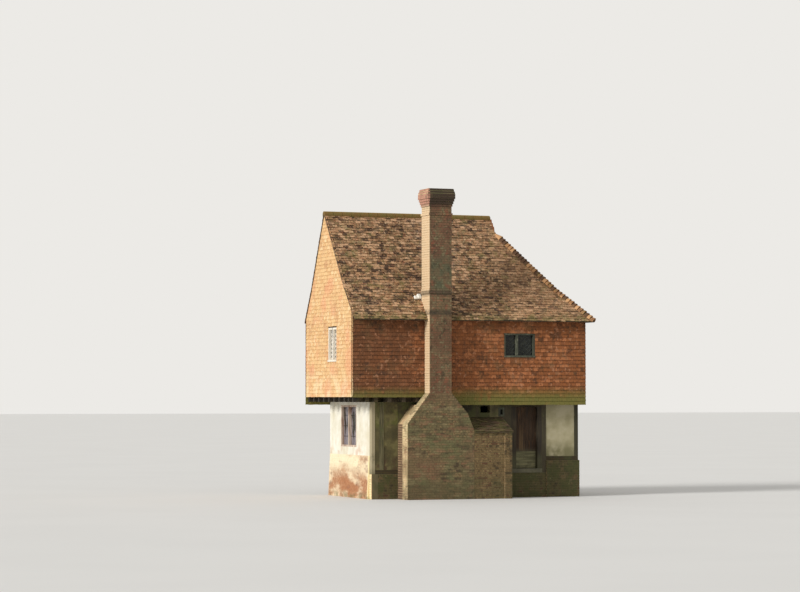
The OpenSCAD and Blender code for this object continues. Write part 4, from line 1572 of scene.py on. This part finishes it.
        heap = Heap("chimney_base_bricks", 32)
        BRICK.lay(heap, self.wall(low, X, Y, high.z), spans)
        side = self.wall((low.x, self.plan.front + self.base_tuck, 0.0), -Y, X, self.left_foot)
        self.cover(heap, side, 0.0, depth + self.base_tuck + self.lap)
        left_section = ((0.0, 0.0), (left, high.z - self.left_foot))
        right_section = (
            (0.0, 0.0), (self.kink_in, self.kink_z - self.right_foot),
            (width - right, high.z - self.right_foot),
        )
        slopes = (
            ((low.x, self.plan.front, self.left_foot), -Y, X, left_section),
            ((high.x, low.y, self.right_foot), Y, -X, right_section),
        )
        for start, along, inward, section in slopes:
            self.cover(heap, Face(Vector(start), along, inward, section), 0.0, depth)
        heap.piece(self.finishes.base_brick, "brick")

    def oven(self) -> None:
        """The oven block's front, its pier and its right side, and its tiled top."""
        low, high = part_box("oven_block")
        roof_low, roof_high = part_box("oven_roof")
        wide, deep, front_z = high.x - low.x, high.y - low.y, roof_low.z
        heap = Heap("oven_bricks", 33)
        front = self.wall((low.x, low.y + self.pier_out, 0.0), X, Y, front_z)
        self.cover(heap, front, 0.0, wide - self.pier_w)
        pier = self.wall((high.x - self.pier_w, low.y, 0.0), X, Y, front_z)
        self.cover(heap, pier, -self.lap, self.pier_w + self.lap)

        def side_spans(run: float, rise: float) -> list[Span]:
            """The right side under the sloping top."""
            return [(max(0.0, deep * (rise - front_z) / (high.z - front_z)), deep)]

        side = self.wall((high.x, low.y, 0.0), Y, -X, high.z - self.oven_side_drop)
        BRICK.lay(heap, side, side_spans)
        heap.piece(self.finishes.oven_brick, "brick")
        top = Heap("oven_top_tiles", 34)
        rise = roof_high.z - roof_low.z - self.oven_tile_drop
        start = Vector((roof_low.x, roof_low.y, front_z + self.oven_tile_lift))
        face = Face(start, X, Y, ((0.0, 0.0), (roof_high.y - roof_low.y, rise)))
        length = roof_high.x - roof_low.x
        PLAIN.lay(
            top, face, lambda run, rise: [(0.0, length)], -self.oven_tile_lip,
            face.length() - self.oven_tile_head,
        )
        top.piece(self.finishes.oven_tile, "moss_tile")

    def plinths(self) -> None:
        """The plinths at the front, the right end and the back."""
        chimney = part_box("chimney_base")[0].x
        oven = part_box("oven_block")[1].x
        low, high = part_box("front_plinth")
        right_low, right_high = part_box("front_right_plinth")
        back_low, back_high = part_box("back_plinth")
        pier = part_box("lower_posts")[0].x + self.post_w
        lap = self.lap
        heap = Heap("plinth_bricks", 35)

        def front_spans(run: float, rise: float) -> list[Span]:
            """The front plinth each side of the chimney and the oven block."""
            return [(pier - low.x, chimney - low.x), (oven - low.x, high.x - low.x)]

        BRICK.lay(heap, self.wall((low.x, low.y, 0.0), X, Y, high.z), front_spans)
        corner = self.wall((low.x, low.y + self.plinth_out, 0.0), X, Y, high.z)
        self.cover(heap, corner, -lap, pier - low.x)
        size = right_high - right_low
        self.cover(heap, self.wall(right_low, X, Y, size.z), -lap, size.x + lap)
        end = self.wall((right_high.x, right_low.y, 0.0), Y, -X, size.z)
        self.cover(heap, end, -lap, back_high.y - right_low.y + lap)
        back = self.wall((back_high.x, back_high.y, 0.0), -X, -Y, back_high.z)
        self.cover(heap, back, -lap, back_high.x - back_low.x)
        heap.piece(self.finishes.plinth_brick, "brick")

    def end_base(self) -> None:
        """The spreading base of the left end, with the corner pier beside it."""
        low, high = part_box("left_end_base")
        plinth_low, plinth_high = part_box("front_plinth")
        heap = Heap("end_base_bricks", 36)
        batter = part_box("left_end_wall")[0].x - low.x
        face = Face(Vector((low.x, high.y, 0.0)), -Y, X, ((0.0, 0.0), (batter, high.z)))
        self.cover(heap, face, 0.0, high.y - low.y, WORN_BRICK)
        corner = self.wall((plinth_low.x, low.y, 0.0), -Y, X, plinth_high.z)
        pier = low.y - plinth_low.y - self.plinth_out
        self.cover(heap, corner, 0.0, pier + self.lap, WORN_BRICK)
        heap.piece(self.finishes.end_brick, "old_brick")


@dataclass
class Door:
    """The boarded door: upright boards outside, boards across its foot, ledges and nails.

    Board step is how far a board may lie behind its neighbours, and the apron is what the
    boards across the foot make up.
    """

    finishes: Finishes
    boards: int = 6
    board_gap: float = 0.004
    board_t: float = 0.038
    board_step: float = 0.003
    ledge_t: float = 0.026
    ledge_in: float = 0.29
    ledge_h: float = 0.15
    ledge_end: float = 0.06
    apron_t: float = 0.018
    apron_h: float = 0.54
    apron_in: float = 0.034
    apron_boards: int = 3
    apron_gap: float = 0.003
    edge: float = 0.003
    nail_r: float = 0.007
    nail_in: float = 0.04
    nail_foot: float = 0.001
    nail_length: float = 0.004

    def build(self) -> None:
        """Builds and dresses the leaf."""
        low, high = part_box("door_leaf")
        front = low.y + self.apron_t
        ledges = (low.z + self.ledge_in, high.z - self.ledge_in - self.ledge_h)
        self.leaf(low, high, front, ledges)
        self.apron(low, high, front)
        self.nails(low, high, front, ledges)

    def leaf(self, low: Vector, high: Vector, front: float, ledges: Span) -> None:
        """Makes the upright boards and the ledges behind them.

        Args:
            low: The leaf's lowest corner.
            high: Its highest corner.
            front: Place of the upright boards' outer side.
            ledges: Heights of the two ledges.
        """
        back = front + self.board_t
        heap = Heap("door_boards", 41)
        width, gap = (high.x - low.x) / self.boards, self.board_gap / 2
        for i in range(self.boards):
            start = low.x + i * width
            end = start + width - (gap if i < self.boards - 1 else 0)
            face = front + heap.draw.uniform(0, self.board_step)
            heap.box((start + (gap if i else 0), face, low.z), (end, back, high.z), self.edge)
        for z in ledges:
            near = (low.x + self.ledge_end, back, z)
            far = (high.x - self.ledge_end, back + self.ledge_t, z + self.ledge_h)
            heap.box(near, far, self.edge)
        heap.piece(self.finishes.door_oak, "dark_oak", "door", ("door_leaf",))

    def apron(self, low: Vector, high: Vector, front: float) -> None:
        """Makes the boards across the foot.

        Args:
            low: The leaf's lowest corner.
            high: Its highest corner.
            front: Place of the upright boards' outer side.
        """
        heap = Heap("door_foot_boards", 42)
        left, right = low.x + self.apron_in, high.x - self.apron_in
        tall = self.apron_h / self.apron_boards
        for i in range(self.apron_boards):
            z = low.z + i * tall
            top = z + tall - (self.apron_gap if i < self.apron_boards - 1 else 0.0)
            heap.box((left, front - self.apron_t, z), (right, front, top), self.edge)
        heap.piece(self.finishes.apron, "stone", "door")

    def nails(self, low: Vector, high: Vector, front: float, ledges: Span) -> None:
        """Drives two rows of nails into each ledge.

        Args:
            low: The leaf's lowest corner.
            high: Its highest corner.
            front: Place of the upright boards' outer side.
            ledges: Heights of the two ledges.
        """
        heap = Heap("door_nails", 43)
        width = (high.x - low.x) / self.boards
        for z in (z + step for z in ledges for step in (self.nail_in, self.ledge_h - self.nail_in)):
            for i in range(self.boards):
                spot = Vector((low.x + (i + 0.5) * width, front + self.nail_foot, z))
                if z < low.z + self.apron_h:
                    spot.y -= self.apron_t
                heap.rod(spot, spot - Y * self.nail_length, self.nail_r)
        heap.piece(self.finishes.iron, "iron", "door")


@dataclass
class Windows:
    """Leads and bars in front of the glass.

    Lead in and bar in are how far they lie behind the frame's outer side, and split is the
    place of the front window's mullion from its left side.
    """

    finishes: Finishes
    frame_w: float = 0.06
    mullion_w: float = 0.075
    split: float = 0.42
    lead: float = 0.009
    lead_in: float = 0.12
    lead_sides: int = 4
    least: float = 0.02
    pane: float = 0.13
    bar_in: float = 0.075
    bar_r: float = 0.007
    bar_shares: Triple = (0.25, 0.5, 0.75)

    def build(self) -> None:
        """Builds the leads of the front and gable windows and the bars of the end window."""
        side = self.frame_w
        low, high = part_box("front_window_frame")
        y, split = low.y + self.lead_in, low.x + self.split
        lights = (low.x + side, split), (split + self.mullion_w, high.x - side)
        up = low.z + side, high.z - side
        self.leads("front_window_leads", 51, lights, up, lambda u, z: Vector((u, y, z)))
        low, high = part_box("gable_window_frame")
        x, middle, half = low.x + self.lead_in, (low.y + high.y) / 2, self.mullion_w / 2
        lights = (low.y + side, middle - half), (middle + half, high.y - side)
        up = low.z + side, high.z - side
        self.leads("gable_window_leads", 52, lights, up, lambda u, z: Vector((x, u, z)))
        low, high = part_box("end_window_frame")
        heap = Heap("end_window_bars", 53)
        x = low.x + self.bar_in
        for share in self.bar_shares:
            z = low.z + (high.z - low.z) * share
            heap.rod(Vector((x, low.y + side, z)), Vector((x, high.y - side, z)), self.bar_r)
        heap.piece(self.finishes.iron, "iron")

    def leads(
        self, name: str, seed: int, lights: tuple[Span, Span], up: Span,
        place: Callable[[float, float], Vector],
    ) -> None:
        """Makes the leads of a window with two lights.

        Args:
            name: The piece's name.
            seed: What its random draws start from.
            lights: Each light's two sides.
            up: The lights' foot and head.
            place: Turns a place across and up into a point.
        """
        heap = Heap(name, seed)
        for across in lights:
            self.lattice(heap, across, up, place)
        heap.piece(self.finishes.lead, "iron")

    def lattice(
        self, heap: Heap, across: Span, up: Span, place: Callable[[float, float], Vector]
    ) -> None:
        """Fills a light with diamond leads.

        Args:
            heap: Where they go.
            across: The light's two sides.
            up: The light's foot and head.
            place: Turns a place across and up into a point.
        """
        wide, tall = across[1] - across[0], up[1] - up[0]
        count = math.ceil((wide + tall) / self.pane)
        for lean in (1, -1):
            for i in range(1, count):
                shift = i * self.pane
                u0, z0 = (shift, 0.0) if shift < wide else (wide, shift - wide)
                u1, z1 = (0.0, shift) if shift < tall else (shift - tall, tall)
                if lean < 0:
                    u0, u1 = wide - u0, wide - u1
                start = place(across[0] + u0, up[0] + z0)
                end = place(across[0] + u1, up[0] + z1)
                if (end - start).length > self.least:
                    heap.rod(start, end, self.lead / 2, self.lead_sides)


@dataclass
class Dressing:
    """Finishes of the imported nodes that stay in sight.

    Skin is the depth of a wall that counts as its outside, and floor and peak are the heights
    between which a wall or slope has an inside.
    """

    finishes: Finishes
    plan: Plan
    skin: float = 0.06
    floor: float = 3.0
    peak: float = 9.0

    def build(self) -> None:
        """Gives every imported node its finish."""
        f, plan, skin = self.finishes, self.plan, self.skin
        low = (plan.left + skin, plan.front + skin, self.floor)
        high = (plan.right - skin, plan.back - skin, self.peak)
        behind = TwoSided(
            "tile backing", ("3f2e20", "4b3626"), inner=("a89f82", "b5ac90"), low=low, high=high
        )
        under = TwoSided(
            "roof underside", ("3c3122", "4a3d2b"), inner=("574a37", "655742"), low=low, high=high
        )
        nodes: dict[str, Finish] = {
            "left_end_base": f.pale_mortar, "front_plinth": f.mortar, "front_right_plinth": f.mortar,
            "right_end_plinth": f.mortar, "back_plinth": f.mortar, "sill_beams": f.oak_long,
            "ground_floor": f.stone, "lower_posts": f.oak, "front_left_panel": f.mossy,
            "front_mid_wall": f.shaded_wall, "plaster_panel": f.plaster, "left_end_wall": f.render,
            "lower_back_wall": f.plaster, "lower_right_wall": f.plaster, "floor_joists": f.joist,
            # The joist infill takes the dark floor oak as painted shade under the jetty.
            "jetty_joists": f.oak_long, "dragon_beam": f.oak_long, "joist_infill": f.joist,
            "upper_floor": f.joist, "upper_front_wall_left": behind, "upper_front_wall_right": behind,
            "left_gable_wall": behind, "upper_back_wall": behind, "upper_right_wall": behind,
            "front_roof_slope": under, "back_roof_slope": under, "hip_roof_slope": under,
            "ridge_tiles": f.ridge, "chimney_base": f.mortar, "chimney_stack": f.mortar,
            "chimney_cap": f.mortar, "oven_block": f.mortar, "oven_roof": f.oven_tile,
            "threshold": f.stone, "door_jambs": f.jamb, "door_head": f.oak_long,
            "door_straps": f.iron, "door_pintles": f.iron, "front_window_frame": f.grey_frame,
            "gable_window_frame": f.pale_frame, "end_window_frame": f.end_frame,
            "small_window_frame": f.grey_frame, "window_glass": f.glass,
        }
        for name, finish in nodes.items():
            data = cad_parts[name].data
            data.materials.clear()
            data.materials.append(finish.sheet())
        LOG.info("%d packed nodes dressed", len(nodes))

@dataclass
class Studio:
    """The pale floor, the soft light and the camera, with its angles in degrees."""

    eye: Triple = (-31.45, -77.155, 3.219)
    yaw: float = 21.065
    pitch: float = 2.26
    lens: float = 115.2
    sensor: float = 36.0
    sight: float = 2000.0
    floor: float = 400.0
    ground: Finish = Finish("pale floor", ("e6e4df", "e8e6e1"), rough=0.95, grain=2.0, depth=0.0)
    sun_way: Triple = (0.90, 0.28, -0.40)
    sun: float = 2.7
    sun_spread: float = 16.0
    sky: float = 0.62
    backdrop: str = "eceae6"

    def build(self) -> None:
        """Sets the stage, the lights and the camera."""
        scene = bpy.context.scene
        scene.view_settings.view_transform = "Standard"
        grid = bmesh.new()
        bmesh.ops.create_grid(grid, x_segments=2, y_segments=2, size=self.floor)
        data = bpy.data.meshes.new("studio_floor")
        grid.to_mesh(data)
        grid.free()
        data.materials.append(self.ground.sheet())
        floor = bpy.data.objects.new("studio_floor", data)
        scene.collection.objects.link(floor)
        self.world(scene)
        lamp = bpy.data.lights.new("soft_sun", "SUN")
        lamp.energy = self.sun
        lamp.angle = math.radians(self.sun_spread)
        sun = bpy.data.objects.new("soft_sun", lamp)
        sun.rotation_euler = Vector(self.sun_way).to_track_quat("-Z", "Y").to_euler()
        scene.collection.objects.link(sun)
        lens = bpy.data.cameras.new("camera")
        lens.lens, lens.sensor_width, lens.clip_end = self.lens, self.sensor, self.sight
        camera = bpy.data.objects.new("camera", lens)
        camera.location = self.eye
        camera.rotation_euler = (math.radians(90 + self.pitch), 0.0, math.radians(-self.yaw))
        scene.collection.objects.link(camera)
        scene.camera = camera

    def world(self, scene: bpy.types.Scene) -> None:
        """Lights the house evenly, in front of a plain pale backdrop.

        Args:
            scene: The scene that gets the world.
        """
        world = bpy.data.worlds.new("studio")
        world.use_nodes = True
        board = Board(world.node_tree)
        rays = board.node("ShaderNodeLightPath").outputs
        seen, glossy, through = (
            Tap(board, rays[name]) for name in ("Is Camera Ray", "Is Glossy Ray", "Is Transmission Ray")
        )
        seen = board.math("MAXIMUM", board.math("MAXIMUM", seen, glossy), through)
        light = board.tap("ShaderNodeBackground", {}, {"Strength": self.sky})
        shown = board.tap("ShaderNodeBackground", {}, {"Color": paint(self.backdrop)})
        both = board.tap("ShaderNodeMixShader", {}, {0: seen, 1: light, 2: shown})
        board.node("ShaderNodeOutputWorld", {}, {"Surface": both})
        scene.world = world


def main() -> None:
    """Builds every piece in order."""
    logging.basicConfig(level=logging.INFO, format="%(message)s")
    plan, finishes = Plan(), Finishes()
    Studio().build()
    Dressing(finishes, plan).build()
    Roof(plan, finishes).build()
    HungTiles(plan, finishes).build()
    Masonry(plan, finishes).build()
    Door(finishes).build()
    Windows(finishes).build()


if __name__ == "__main__":
    main()
